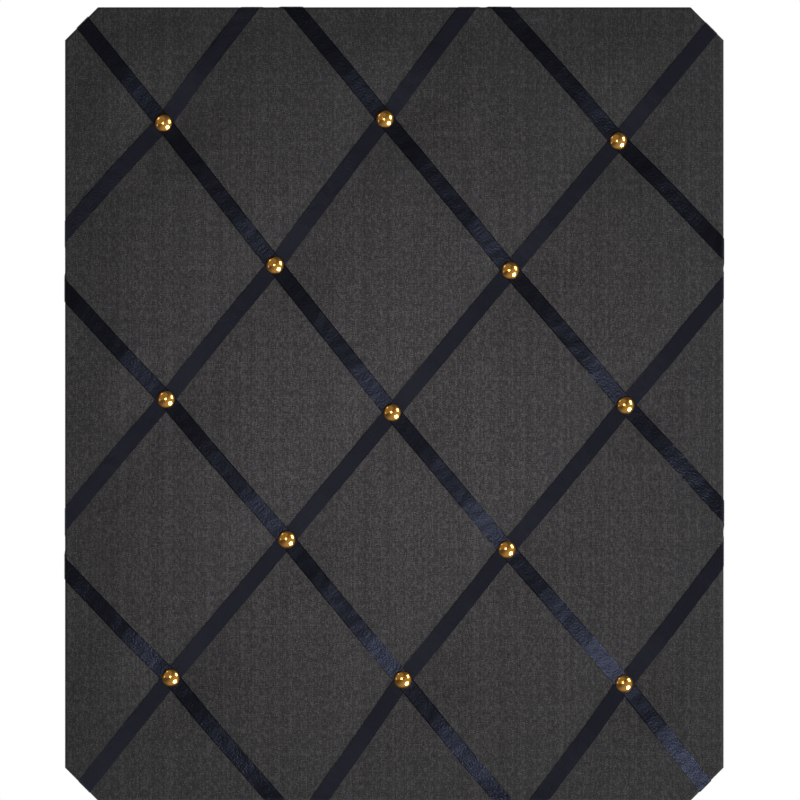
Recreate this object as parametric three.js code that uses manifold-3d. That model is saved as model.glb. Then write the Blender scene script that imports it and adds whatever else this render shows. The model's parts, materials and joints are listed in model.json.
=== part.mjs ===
// Quilted memo board: a soft fibreboard core padded with wadding and covered in linen, crossed by a
// lattice of satin ribbons that domed studs pin down, with two D-ring hangers on the back.
// Millimetres, +Z up. The front faces -Y and the origin is the centre of the core's back face.

import * as THREE from 'three';
import { mergeVertices } from 'three/addons/utils/BufferGeometryUtils.js';
import Module from 'manifold-3d';

const wasm = await Module();
wasm.setup();

// Outline of the covered board, and the gap kept between pieces that touch
const BOARD_WIDTH = 498;
const BOARD_HEIGHT = 600;
const CORNER_CLIP = 25;
const CLEARANCE = 0.3;

// Core
const CORE_THICKNESS = 12;
const WALL_PATCH_HALF = 60;

// Wadding: its thickness over the core at each kind of place, and the distance each rise takes
const WADDING_AT_STUD = 3;
const WADDING_AT_RIBBON = 8.5;
const WADDING_AT_CROWN = 10.5;
const WADDING_AT_EDGE = 6;
const WADDING_AT_SIDE = 2.5;
const DIMPLE_RUN = 42;
const PILLOW_RUN = 45;
const EDGE_RUN = 45;

// Linen cover
const COVER_THICKNESS = 0.8;
const EDGE_RADIUS = 2.5;
const BACK_RADIUS = 1.5;
const COVER_TURN_IN = 40;

// Ribbons
const RIBBON_WIDTH = 12;
const RIBBON_THICKNESS = 0.3;
const TRACK_MARGIN = 1;
const CORNER_MARGIN = 2;
const HOP_MARGIN = 1;
const HOP_RUN = 6;
const TAIL_SHORT_OF_TURN_IN = 5;

// Studs
const STUD_DIAMETER = 13.4;
const STUD_DOME_HEIGHT = 3.4;
const STUD_WALL = 0.8;
const SHANK_DIAMETER = 2;
const SHANK_LENGTH = 13;
const SHANK_POINT = 3;
const STUD_MARGIN_SIDE = 76.5;
const STUD_MARGIN_END = 91;

// How far each stud was set by hand off the even lattice, [right, up]
const STUD_DRIFT = {
  a1: [-2, 3.5], a2: [-7, 6.5], a3: [-3, -10],
  b1: [-4, 0.5], b2: [1.5, -3.5],
  c1: [0, 3.5], c2: [-1.5, -6.5], c3: [2.5, -1],
  d1: [5, 2], d2: [-1, -5.5],
  e1: [3.5, 2], e2: [6.5, 0.5], e3: [1.5, -2.5],
};

// How far each ribbon's two ends stray along the board's edge, anticlockwise, [left end, right end]
const END_DRIFT = {
  falling: [[13.5, 3], [10, 0.5], [-1, -2], [0, 9], [5.5, 13.5]],
  rising: [[-7.5, 6], [-1.5, 7], [2, 0], [11.5, -0.5], [7.5, 7]],
};

// Hangers
const HANGER_INSET = 84;
const HANGER_DROP = 110;
const STRAP_WIDTH = 10;
const STRAP_LENGTH = 32;
const STRAP_THICKNESS = 1;
const RING_WIRE_DIAMETER = 2;
const RING_WIDTH = 18;
const RING_LENGTH = 15;
const RING_CORNER_RADIUS = 2.5;
const SCREW_FROM_STRAP_END = 7;
const SCREW_DIAMETER = 3;
const SCREW_LENGTH = 10;
const SCREW_POINT = 3;
const SCREW_HEAD_DIAMETER = 6.8;
const SCREW_HEAD_HEIGHT = 2.2;
const SCREW_SLOT_WIDTH = 0.9;
const SCREW_SLOT_DEPTH = 1;

// Faceting
const HOLE_SIDES = 6;
const ROUND_SIDES = 16;
const WIRE_SIDES = 8;
const EDGE_STEPS = 3;
const BACK_STEPS = 2;
const CORNER_STEPS = 3;
const BOW_STEPS = 11;
const DOME_STEPS = 4;
const HOLLOW_STEPS = 2;

const HALF_WIDTH = BOARD_WIDTH / 2;
const HALF_HEIGHT = BOARD_HEIGHT / 2;
const PITCH_X = (HALF_WIDTH - STUD_MARGIN_SIDE) / 2;
const PITCH_Z = (HALF_HEIGHT - STUD_MARGIN_END) / 2;
const CORE_INSET = COVER_THICKNESS + CLEARANCE + WADDING_AT_SIDE + CLEARANCE;
const COVER_OVER_WADDING = CLEARANCE + COVER_THICKNESS;
const COVER_BED = CORE_THICKNESS + CLEARANCE + COVER_OVER_WADDING;
const EDGE_LEVEL = COVER_BED + WADDING_AT_EDGE;
const BACK_FACE = CLEARANCE + COVER_THICKNESS;
const TRACK_HALF = RIBBON_WIDTH / 2 + TRACK_MARGIN;
const RIBBON_LAYER = CLEARANCE + RIBBON_THICKNESS;
const CROSSING_ANGLE = 2 * Math.atan2(PITCH_Z, PITCH_X);
const CROSSING_HALF = HOP_MARGIN
  + (RIBBON_WIDTH / 2) * (1 + Math.abs(Math.cos(CROSSING_ANGLE))) / Math.sin(CROSSING_ANGLE);
const FLOOR_HALF = CROSSING_HALF + HOP_RUN;
const FLOOR_RADIUS = Math.hypot(FLOOR_HALF, TRACK_HALF);
const SCREW_DROP = STRAP_LENGTH - SCREW_FROM_STRAP_END;
const STUD_RIM_LEVEL = COVER_BED + WADDING_AT_STUD + 2 * RIBBON_LAYER + CLEARANCE;

// Radius of a many-sided hole that a round pin clears
const holeRadius = (diameter) => (diameter / 2 + CLEARANCE) / Math.cos(Math.PI / HOLE_SIDES);

const { clamp, lerp, smoothstep } = THREE.MathUtils;
const flat = (x, z) => new THREE.Vector2(x, z);

// A skin collects the triangles that close a solid.
class Skin {
  corners = [];

  triangle(a, b, c) {
    this.corners.push(a, b, c);
  }

  // A triangulated face, or with flip the same face looking the other way
  face(points, triangles, flip = false) {
    for (const [a, b, c] of triangles) {
      this.triangle(points[a], points[flip ? c : b], points[flip ? b : c]);
    }
  }

  // A flat cap over one loop
  cap(loop, flip = false) {
    const fan = loop.points.slice(2).map((_, i) => [0, i + 1, i + 2]);
    this.face(loop.points, fan, flip);
  }

  // A band between two loops that run the same way round. A loop's keys say how far round each
  // point lies, and the band steps along whichever loop's next key comes first.
  band(from, to) {
    let i = 0;
    let j = 0;
    while (i < from.points.length || j < to.points.length) {
      if (nextKey(from, i) <= nextKey(to, j)) {
        this.triangle(pointAt(from, i), pointAt(to, j), pointAt(from, i + 1));
        i += 1;
      } else {
        this.triangle(pointAt(from, i), pointAt(to, j), pointAt(to, j + 1));
        j += 1;
      }
    }
  }

  bands(loops) {
    loops.slice(1).forEach((loop, i) => this.band(loops[i], loop));
  }

  geometry() {
    const positions = this.corners.flatMap((p) => [p.x, p.y, p.z]);
    const geometry = new THREE.BufferGeometry();
    geometry.setAttribute('position', new THREE.Float32BufferAttribute(positions, 3));
    return mergeVertices(geometry);
  }
}

const pointAt = (loop, i) => loop.points[i % loop.points.length];

function nextKey(loop, i) {
  if (i >= loop.points.length) return Infinity;
  return i + 1 < loop.points.length ? loop.keys[i + 1] : loop.turn;
}

// A loop whose points are counted off one by one
function countedLoop(points) {
  return { points, keys: points.map((_, i) => i), turn: points.length };
}

// Solids for cutting and joining
function toSolid(geometry) {
  const bare = geometry.clone();
  bare.deleteAttribute('normal');
  bare.deleteAttribute('uv');
  const merged = mergeVertices(bare);
  const vertProperties = merged.attributes.position.array;
  const triVerts = Uint32Array.from(merged.index.array);
  return new wasm.Manifold(new wasm.Mesh({ numProp: 3, vertProperties, triVerts }));
}

function toGeometry(solid) {
  const mesh = solid.getMesh();
  const geometry = new THREE.BufferGeometry();
  geometry.setAttribute('position', new THREE.BufferAttribute(mesh.vertProperties, 3));
  geometry.setIndex(new THREE.BufferAttribute(mesh.triVerts, 1));
  return geometry;
}

// Corners of the clipped outline drawn in by an inset, anticlockwise as seen from the front
function outline(inset) {
  const x = HALF_WIDTH - inset;
  const z = HALF_HEIGHT - inset;
  const clip = Math.max(CORNER_CLIP - inset * (2 - Math.SQRT2), CLEARANCE);
  return [
    flat(x, clip - z), flat(x, z - clip), flat(x - clip, z), flat(clip - x, z),
    flat(-x, z - clip), flat(-x, clip - z), flat(clip - x, -z), flat(x - clip, -z),
  ];
}

function ring(inset, y) {
  return countedLoop(outline(inset).map((p) => new THREE.Vector3(p.x, y, p.y)));
}

// The outline's edges at an inset, each with its outward normal and its tangent
function edges(inset) {
  const corners = outline(inset);
  return corners.map((from, i) => {
    const to = corners[(i + 1) % corners.length];
    const tangent = to.clone().sub(from).normalize();
    return { from, to, tangent, normal: flat(tangent.y, -tangent.x) };
  });
}

const frontEdges = edges(EDGE_RADIUS);

// Studs stand on every other point of a lattice, lettered by row from the top
const studs = [];
for (let row = 2; row >= -2; row -= 1) {
  const columns = row % 2 === 0 ? [-2, 0, 2] : [-1, 1];
  columns.forEach((column, i) => {
    const name = 'abcde'[2 - row] + (i + 1);
    const [right, up] = STUD_DRIFT[name];
    studs.push({ name, column, row, at: flat(column * PITCH_X + right, row * PITCH_Z + up) });
  });
}

// Where a ribbon that leaves its last stud reaches the rounded edge, wholly on one side of the outline
function reachEdge(stud, heading, drift) {
  const crossings = frontEdges
    .filter((edge) => heading.dot(edge.normal) > 0)
    .map((edge) => {
      const reach = edge.from.clone().sub(stud).dot(edge.normal) / heading.dot(edge.normal);
      return { edge, reach };
    });
  const { edge, reach } = crossings.reduce((a, b) => (a.reach < b.reach ? a : b));
  const straight = stud.clone().addScaledVector(heading, reach);
  const room = TRACK_HALF / heading.dot(edge.normal) + CORNER_MARGIN;
  const along = straight.sub(edge.from).dot(edge.tangent) + drift;
  const kept = clamp(along, room, edge.from.distanceTo(edge.to) - room);
  return { at: edge.from.clone().addScaledVector(edge.tangent, kept), edge };
}

// A ribbon runs through the studs of one diagonal of the lattice and on to the edge at both ends
function layRibbon(kind, lane, index) {
  const side = kind === 'falling' ? 1 : -1;
  const pins = studs.filter((stud) => stud.column + side * stud.row === lane);
  pins.sort((a, b) => a.column - b.column);
  const onward = flat(PITCH_X, -side * PITCH_Z).normalize();
  const [leftDrift, rightDrift] = END_DRIFT[kind][index];
  const start = reachEdge(pins[0].at, onward.clone().negate(), leftDrift);
  const end = reachEdge(pins.at(-1).at, onward, rightDrift);
  const knots = [start.at, ...pins.map((pin) => pin.at), end.at];
  return { name: `ribbon_${kind}_${index + 1}`, onTop: kind === 'falling', start, end, pins, knots };
}

const LANES = [-4, -2, 0, 2, 4];
const ribbons = ['rising', 'falling'].flatMap((kind) => LANES.map((lane, i) => layRibbon(kind, lane, i)));

// Thickness of the wadding at a point of the front: thin under the studs, a little drawn down along
// the ribbons and towards the edge, full in the middle of each diamond
function waddingAt(p) {
  const fromStud = Math.min(...studs.map((stud) => p.distanceTo(stud.at)));
  const fromRibbon = Math.min(...ribbons.map((ribbon) => distanceToPath(p, ribbon.knots)));
  const fromEdge = Math.min(...frontEdges.map((edge) => edge.from.clone().sub(p).dot(edge.normal)));
  const swell = smoothstep(fromRibbon, TRACK_HALF, TRACK_HALF + PILLOW_RUN);
  const open = lerp(WADDING_AT_RIBBON, WADDING_AT_CROWN, swell);
  const climb = smoothstep(fromStud, FLOOR_RADIUS, FLOOR_RADIUS + DIMPLE_RUN);
  const dimpled = lerp(WADDING_AT_STUD, open, climb);
  return lerp(WADDING_AT_EDGE, dimpled, smoothstep(fromEdge, 0, EDGE_RUN));
}

function distanceToPath(p, knots) {
  const spans = knots.slice(1).map((to, i) => {
    const along = to.clone().sub(knots[i]);
    const share = clamp(p.clone().sub(knots[i]).dot(along) / along.lengthSq(), 0, 1);
    return p.distanceTo(knots[i].clone().addScaledVector(along, share));
  });
  return Math.min(...spans);
}

// Height of the cover's outside above the back face of the core
const coverLevel = (p) => COVER_BED + waddingAt(p);

// Stations along a ribbon's straight span: close together where the padding rises from a stud
const DIMPLE_STATIONS = [0, 0.4, 0.85];
const STATION_GAP = 30;

function spanStations(from, to, fromStud, toStud) {
  const length = from.distanceTo(to);
  const along = to.clone().sub(from).normalize();
  const across = flat(-along.y, along.x);
  const shared = fromStud && toStud ? length / 2 : length;
  const reach = Math.min(FLOOR_HALF + DIMPLE_RUN, shared);
  const rises = DIMPLE_STATIONS.map((share) => lerp(FLOOR_HALF, reach, share));
  if (!fromStud || !toStud) {
    const rest = length - rises.at(-1);
    const spaces = Math.ceil(rest / STATION_GAP);
    for (let k = 1; k < spaces; k += 1) rises.push(length - rest * (1 - k / spaces));
  }
  const distances = [
    ...(fromStud ? rises : []),
    ...(toStud ? rises.map((rise) => length - rise).reverse() : []),
  ];
  return distances.map((distance) => {
    return { at: from.clone().addScaledVector(along, distance), across, lift: 0 };
  });
}

// A station on the rounded edge lies along the edge, so its sides are where the ribbon's sides meet it
function edgeStation(exit, from, to) {
  const along = to.clone().sub(from).normalize();
  const across = flat(-along.y, along.x);
  const slip = across.dot(exit.edge.normal) / along.dot(exit.edge.normal);
  return { at: exit.at, across: across.addScaledVector(along, -slip) };
}

function sidesOf({ at, across }, half) {
  return [half, -half].map((offset) => at.clone().addScaledVector(across, offset));
}

for (const ribbon of ribbons) {
  const { knots, start, end } = ribbon;
  const last = knots.length - 1;
  ribbon.field = knots.slice(1).flatMap((to, i) => spanStations(knots[i], to, i > 0, i + 1 < last));
  ribbon.startStation = edgeStation(start, knots[0], knots[1]);
  ribbon.endStation = edgeStation(end, knots[last - 1], knots[last]);
}

// Delaunay triangulation: each point in turn takes out every triangle whose circumcircle holds it,
// and is joined to the rim of the hole. The triangles come out anticlockwise.
const ON_CIRCLE = 1e-9;
const FAR_OUT = 100;

function triangulate(points) {
  const far = FAR_OUT * (BOARD_WIDTH + BOARD_HEIGHT);
  const all = [...points, flat(-far, -far), flat(far, -far), flat(0, far)];
  const count = points.length;
  let triangles = [circled(all, count, count + 1, count + 2)];
  points.forEach((p, i) => {
    const rim = new Map();
    triangles = triangles.filter(({ corners, centre, radiusSq }) => {
      if (p.distanceToSquared(centre) > radiusSq * (1 - ON_CIRCLE)) return true;
      corners.forEach((a, k) => {
        const b = corners[(k + 1) % 3];
        if (!rim.delete(`${b} ${a}`)) rim.set(`${a} ${b}`, [a, b]);
      });
      return false;
    });
    for (const [a, b] of rim.values()) triangles.push(circled(all, a, b, i));
  });
  return triangles.map((t) => t.corners).filter((corners) => corners.every((k) => k < count));
}

function circled(all, a, b, c) {
  const u = all[b].clone().sub(all[a]);
  const v = all[c].clone().sub(all[a]);
  const twice = 2 * u.cross(v);
  const centre = flat(
    (v.y * u.lengthSq() - u.y * v.lengthSq()) / twice,
    (u.x * v.lengthSq() - v.x * u.lengthSq()) / twice,
  );
  return { corners: [a, b, c], radiusSq: centre.lengthSq(), centre: centre.add(all[a]) };
}

function holeRing(at, radius) {
  return Array.from({ length: HOLE_SIDES }, (_, k) => {
    const angle = (2 * Math.PI * k) / HOLE_SIDES;
    return flat(at.x + radius * Math.cos(angle), at.y + radius * Math.sin(angle));
  });
}

// A flat pattern: rim points, rings of holes and points between, triangulated with the holes left open
function pattern(rim, holes, inner) {
  const points = [...rim, ...holes.flat(), ...inner];
  const holeOf = (k) => (k < rim.length ? -1 : Math.floor((k - rim.length) / HOLE_SIDES));
  const inOneHole = ([a, b, c]) => {
    const hole = holeOf(a);
    return hole >= 0 && hole < holes.length && hole === holeOf(b) && hole === holeOf(c);
  };
  return { points, triangles: triangulate(points).filter((t) => !inOneHole(t)) };
}

const lift = (points, level) => points.map((p) => new THREE.Vector3(p.x, -level(p), p.y));

// The quilted front: its rim is where the edge starts to round over
const studHoles = studs.map((stud) => holeRing(stud.at, holeRadius(SHANK_DIAMETER)));
const rimNodes = frontEdges.map((edge, i) => ({ at: edge.from, key: i }));
for (const ribbon of ribbons) {
  for (const [exit, station] of [[ribbon.start, ribbon.startStation], [ribbon.end, ribbon.endStation]]) {
    const { from, to } = exit.edge;
    for (const at of sidesOf(station, TRACK_HALF)) {
      rimNodes.push({ at, key: frontEdges.indexOf(exit.edge) + at.distanceTo(from) / to.distanceTo(from) });
    }
  }
}
rimNodes.sort((a, b) => a.key - b.key);

const trackPoints = ribbons.flatMap((ribbon) => ribbon.field.flatMap((s) => sidesOf(s, TRACK_HALF)));
const Q = 1 / 4;
const PILLOW_SPOTS = [[0, 0], [Q, Q], [-Q, Q], [-Q, -Q], [Q, -Q]];
const EDGE_PILLOW_X = PITCH_X + (HALF_WIDTH - EDGE_RADIUS) / 2;
const EDGE_PILLOW_Z = PITCH_Z + (HALF_HEIGHT - EDGE_RADIUS) / 2;
const pillowPoints = [];
for (let row = -2; row <= 2; row += 1) {
  for (let column = -2; column <= 2; column += 1) {
    if ((row + column) % 2 !== 0) {
      for (const [c, r] of PILLOW_SPOTS) {
        pillowPoints.push(flat((column + c) * PITCH_X, (row + r) * PITCH_Z));
      }
    }
  }
}
for (const along of [-2, 0, 2]) {
  for (const side of [-1, 1]) {
    pillowPoints.push(flat(side * EDGE_PILLOW_X, along * PITCH_Z));
    pillowPoints.push(flat(along * PITCH_X, side * EDGE_PILLOW_Z));
  }
}

const quilt = pattern(rimNodes.map((node) => node.at), studHoles, [...trackPoints, ...pillowPoints]);

function quiltRim(level) {
  const points = lift(rimNodes.map((node) => node.at), level);
  return { points, keys: rimNodes.map((node) => node.key), turn: frontEdges.length };
}

// Section of the cover from the front, over the edge, down the side and in across the back, moved
// outwards by an offset: [inset from the outline, y]
function edgeProfile(offset) {
  const front = Array.from({ length: EDGE_STEPS + 1 }, (_, k) => {
    const angle = (Math.PI / 2) * (k / EDGE_STEPS);
    const radius = EDGE_RADIUS + offset;
    return [EDGE_RADIUS - radius * Math.sin(angle), EDGE_RADIUS - EDGE_LEVEL - radius * Math.cos(angle)];
  });
  const back = Array.from({ length: BACK_STEPS + 1 }, (_, k) => {
    const angle = (Math.PI / 2) * (1 + k / BACK_STEPS);
    const radius = BACK_RADIUS + offset;
    return [BACK_RADIUS - radius * Math.sin(angle), BACK_FACE - BACK_RADIUS - radius * Math.cos(angle)];
  });
  return { front, back };
}

function makeCover() {
  const skin = new Skin();
  const inside = (p) => coverLevel(p) - COVER_THICKNESS;
  const outer = edgeProfile(0);
  const inner = edgeProfile(-COVER_THICKNESS);
  const outerRings = [...outer.front.slice(1), ...outer.back, [COVER_TURN_IN, BACK_FACE]];
  const innerRings = [...inner.front.slice(1), ...inner.back, [COVER_TURN_IN, CLEARANCE]];
  skin.face(lift(quilt.points, coverLevel), quilt.triangles);
  skin.face(lift(quilt.points, inside), quilt.triangles, true);
  skin.bands([
    quiltRim(coverLevel),
    ...outerRings.map(([inset, y]) => ring(inset, y)),
    ...innerRings.reverse().map(([inset, y]) => ring(inset, y)),
    quiltRim(inside),
  ]);
  for (const hole of studHoles) {
    skin.band(countedLoop(lift(hole, inside)), countedLoop(lift(hole, coverLevel)));
  }
  return skin.geometry();
}

function makeWadding() {
  const skin = new Skin();
  const top = (p) => coverLevel(p) - COVER_OVER_WADDING;
  const underside = () => CORE_THICKNESS + CLEARANCE;
  const sideEnd = BACK_FACE - BACK_RADIUS - CLEARANCE;
  const innerInset = CORE_INSET - CLEARANCE;
  const { front } = edgeProfile(-COVER_OVER_WADDING);
  const bottom = pattern(outline(innerInset), studHoles, []);
  skin.face(lift(quilt.points, top), quilt.triangles);
  skin.face(lift(bottom.points, underside), bottom.triangles, true);
  skin.bands([
    quiltRim(top),
    ...front.slice(1).map(([inset, y]) => ring(inset, y)),
    ring(COVER_OVER_WADDING, sideEnd),
    ring(innerInset, sideEnd),
    ring(innerInset, -underside()),
  ]);
  for (const hole of studHoles) {
    skin.band(countedLoop(lift(hole, underside)), countedLoop(lift(hole, top)));
  }
  return skin.geometry();
}

// Hangers sit on the bare core at the back, left and right
const hangers = ['left', 'right'].map((side) => {
  const x = (HALF_WIDTH - HANGER_INSET) * (side === 'left' ? -1 : 1);
  return { side, x, z: HALF_HEIGHT - HANGER_DROP };
});
const EYE_BORE = RING_WIRE_DIAMETER / 2 + CLEARANCE;
const EYE_RADIUS = EYE_BORE + STRAP_THICKNESS;
const RING_AXIS_Y = CLEARANCE + EYE_RADIUS;
const SCREW_SEAT_Y = CLEARANCE + STRAP_THICKNESS + CLEARANCE;

function makeCore() {
  const skin = new Skin();
  const screwRadius = holeRadius(SCREW_DIAMETER);
  const screwHoles = hangers.map(({ x, z }) => holeRing(flat(x, z - SCREW_DROP), screwRadius));
  const patchCorners = [[-1, -1], [1, -1], [1, 1], [-1, 1]];
  const patch = patchCorners.map(([x, z]) => flat(x, z).multiplyScalar(WALL_PATCH_HALF));
  const front = pattern(outline(CORE_INSET), studHoles, []);
  const back = pattern(outline(CORE_INSET), screwHoles, patch);
  const face = () => CORE_THICKNESS;
  const rear = () => 0;
  const shankEnd = () => STUD_RIM_LEVEL - SHANK_LENGTH - CLEARANCE;
  const screwEnd = () => SCREW_LENGTH - SCREW_SEAT_Y + CLEARANCE;
  skin.face(lift(front.points, face), front.triangles);
  skin.face(lift(back.points, rear), back.triangles, true);
  skin.band(ring(CORE_INSET, -CORE_THICKNESS), ring(CORE_INSET, 0));
  for (const hole of studHoles) {
    const end = countedLoop(lift(hole, shankEnd));
    skin.band(end, countedLoop(lift(hole, face)));
    skin.cap(end);
  }
  for (const hole of screwHoles) {
    const end = countedLoop(lift(hole, screwEnd));
    skin.band(countedLoop(lift(hole, rear)), end);
    skin.cap(end, true);
  }
  return skin.geometry();
}

// Sections of a ribbon are loops of four corners: under left, under right, top right, top left
function section(under, top) {
  return countedLoop([under[0], under[1], top[1], top[0]]);
}

// On the front a ribbon lies on its track, level across between the track's two sides
function fieldSection(station) {
  const track = sidesOf(station, TRACK_HALF).map(coverLevel);
  const share = (1 + RIBBON_WIDTH / 2 / TRACK_HALF) / 2;
  const levels = [lerp(track[1], track[0], share), lerp(track[0], track[1], share)];
  const sides = sidesOf(station, RIBBON_WIDTH / 2);
  const raise = (more) => sides.map((p, i) => {
    return new THREE.Vector3(p.x, -(levels[i] + CLEARANCE + station.lift + more), p.y);
  });
  return section(raise(0), raise(RIBBON_THICKNESS));
}

// Over the edge and onto the back a ribbon runs on straight, as it would if the cloth were unrolled
function edgeSections(exit, station, heading, liftBy) {
  const { normal, tangent } = exit.edge;
  const slope = heading.dot(tangent) / heading.dot(normal);
  const tailEnd = COVER_TURN_IN - TAIL_SHORT_OF_TURN_IN;
  const line = (offset) => {
    const { front, back } = edgeProfile(offset);
    return [...front, ...back, [tailEnd, BACK_FACE + offset]];
  };
  const cloth = line(0);
  const under = line(CLEARANCE + liftBy);
  const top = line(CLEARANCE + liftBy + RIBBON_THICKNESS);
  let unrolled = 0;
  return cloth.map(([inset, y], k) => {
    if (k > 0) unrolled += Math.hypot(inset - cloth[k - 1][0], y - cloth[k - 1][1]);
    const along = station.at.clone().addScaledVector(tangent, unrolled * slope);
    const place = ([sideInset, sideY]) => {
      const at = along.clone().addScaledVector(normal, EDGE_RADIUS - sideInset);
      return sidesOf({ at, across: station.across }, RIBBON_WIDTH / 2)
        .map((p) => new THREE.Vector3(p.x, sideY, p.y));
    };
    return section(place(under[k]), place(top[k]));
  });
}

// A ribbon on top hops over the one beneath it at each stud
function hopStations(ribbon) {
  return ribbon.pins.flatMap((pin, i) => {
    const before = ribbon.knots[i];
    const after = ribbon.knots[i + 2];
    return [[before, -1], [after, 1]].map(([other, way]) => {
      const along = other.clone().sub(pin.at).normalize();
      const across = flat(-along.y, along.x).multiplyScalar(way);
      return { at: pin.at.clone().addScaledVector(along, CROSSING_HALF), across, lift: RIBBON_LAYER };
    });
  });
}

function makeRibbon(ribbon) {
  const { knots, start, end, startStation, endStation, onTop } = ribbon;
  const edgeLift = onTop ? RIBBON_LAYER : 0;
  const travelled = (station) => station.at.clone().sub(knots[0]).dot(knots.at(-1).clone().sub(knots[0]));
  const stations = [...ribbon.field, ...(onTop ? hopStations(ribbon) : [])];
  stations.sort((a, b) => travelled(a) - travelled(b));
  const startHeading = knots[0].clone().sub(knots[1]).normalize();
  const endHeading = knots.at(-1).clone().sub(knots.at(-2)).normalize();
  const sections = [
    ...edgeSections(start, startStation, startHeading, edgeLift).reverse(),
    ...stations.map(fieldSection),
    ...edgeSections(end, endStation, endHeading, edgeLift),
  ];
  const skin = new Skin();
  skin.bands(sections);
  skin.cap(sections[0]);
  skin.cap(sections.at(-1), true);
  const drill = new THREE.CylinderGeometry(
    holeRadius(SHANK_DIAMETER), holeRadius(SHANK_DIAMETER), 2 * STUD_RIM_LEVEL, HOLE_SIDES,
  );
  const solid = ribbon.pins.reduce((cloth, pin) => {
    const hole = drill.clone().translate(pin.at.x, -STUD_RIM_LEVEL, pin.at.y);
    return cloth.subtract(toSolid(hole));
  }, toSolid(skin.geometry()));
  return toGeometry(solid);
}

// Points of a dome from the axis to the rim, in the y direction that faces the front
function domeProfile(radius, height, rimLevel, steps) {
  const sphere = (radius * radius + height * height) / (2 * height);
  const spread = Math.asin(Math.min(radius / sphere, 1));
  return Array.from({ length: steps + 1 }, (_, k) => {
    const angle = spread * (k / steps);
    return flat(sphere * Math.sin(angle), -(rimLevel + height - sphere * (1 - Math.cos(angle))));
  });
}

function makeStud() {
  const outer = domeProfile(STUD_DIAMETER / 2, STUD_DOME_HEIGHT, STUD_RIM_LEVEL, DOME_STEPS);
  const inner = domeProfile(
    STUD_DIAMETER / 2 - STUD_WALL, STUD_DOME_HEIGHT - STUD_WALL, STUD_RIM_LEVEL, HOLLOW_STEPS,
  );
  const tip = SHANK_LENGTH - STUD_RIM_LEVEL;
  const profile = [
    ...outer,
    ...inner.slice(1).reverse(),
    flat(SHANK_DIAMETER / 2, inner[0].y),
    flat(SHANK_DIAMETER / 2, tip - SHANK_POINT),
    flat(0, tip),
  ];
  return new THREE.LatheGeometry(profile, ROUND_SIDES);
}

// Turns a shape drawn in (y, z) and extruded along its third axis into one extruded along x
const ALONG_X = new THREE.Matrix4().makeBasis(
  new THREE.Vector3(0, 1, 0), new THREE.Vector3(0, 0, 1), new THREE.Vector3(1, 0, 0),
);

// A strap is a flat tongue with a screw hole, rolled into an eye at the top
function makeStrap() {
  const half = STRAP_WIDTH / 2;
  const bore = EYE_BORE / Math.cos(Math.PI / ROUND_SIDES);
  const eye = new THREE.Shape().absarc(RING_AXIS_Y, 0, EYE_RADIUS, 0, 2 * Math.PI);
  eye.holes.push(new THREE.Path().absarc(RING_AXIS_Y, 0, bore, 0, 2 * Math.PI));
  const eyeGeometry = new THREE.ExtrudeGeometry(eye, {
    depth: STRAP_WIDTH, bevelEnabled: false, curveSegments: ROUND_SIDES,
  });
  eyeGeometry.translate(0, 0, -half).applyMatrix4(ALONG_X);
  const tongue = new THREE.Shape();
  tongue.moveTo(half, 0);
  tongue.lineTo(-half, 0);
  tongue.lineTo(-half, half - STRAP_LENGTH);
  tongue.absarc(0, half - STRAP_LENGTH, half, Math.PI, 2 * Math.PI);
  tongue.holes.push(new THREE.Path().absarc(0, -SCREW_DROP, holeRadius(SCREW_DIAMETER), 0, 2 * Math.PI));
  const tongueGeometry = new THREE.ExtrudeGeometry(tongue, {
    depth: STRAP_THICKNESS, bevelEnabled: false, curveSegments: WIRE_SIDES,
  });
  tongueGeometry.rotateX(Math.PI / 2).translate(0, CLEARANCE + STRAP_THICKNESS, 0);
  return toGeometry(toSolid(tongueGeometry).add(toSolid(eyeGeometry)));
}

function arcPoints(centre, radius, from, to, steps) {
  return Array.from({ length: steps + 1 }, (_, k) => {
    const angle = lerp(from, to, k / steps);
    return flat(centre.x + radius * Math.cos(angle), centre.y + radius * Math.sin(angle));
  });
}

// A D-ring is round wire swept round a closed path: a straight bar with a rounded bow below it
function makeRing() {
  const side = (RING_WIDTH - RING_WIRE_DIAMETER) / 2;
  const wire = RING_WIRE_DIAMETER / 2;
  const corner = RING_CORNER_RADIUS;
  const points = [
    ...arcPoints(flat(side - corner, -corner), corner, 0, Math.PI / 2, CORNER_STEPS),
    ...arcPoints(flat(corner - side, -corner), corner, Math.PI / 2, Math.PI, CORNER_STEPS),
    ...arcPoints(flat(0, side - RING_LENGTH), side, Math.PI, 2 * Math.PI, BOW_STEPS),
  ];
  const sections = points.map((p, i) => {
    const next = points[(i + 1) % points.length];
    const before = points.at(i - 1);
    const tangent = next.clone().sub(before).normalize();
    const outward = flat(tangent.y, -tangent.x);
    return countedLoop(Array.from({ length: WIRE_SIDES }, (_, k) => {
      const angle = (2 * Math.PI * (k + 0.5)) / WIRE_SIDES;
      const at = p.clone().addScaledVector(outward, wire * Math.cos(angle));
      return new THREE.Vector3(at.x, RING_AXIS_Y - wire * Math.sin(angle), at.y);
    }));
  });
  const skin = new Skin();
  skin.bands([...sections, sections[0]]);
  return skin.geometry();
}

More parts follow.
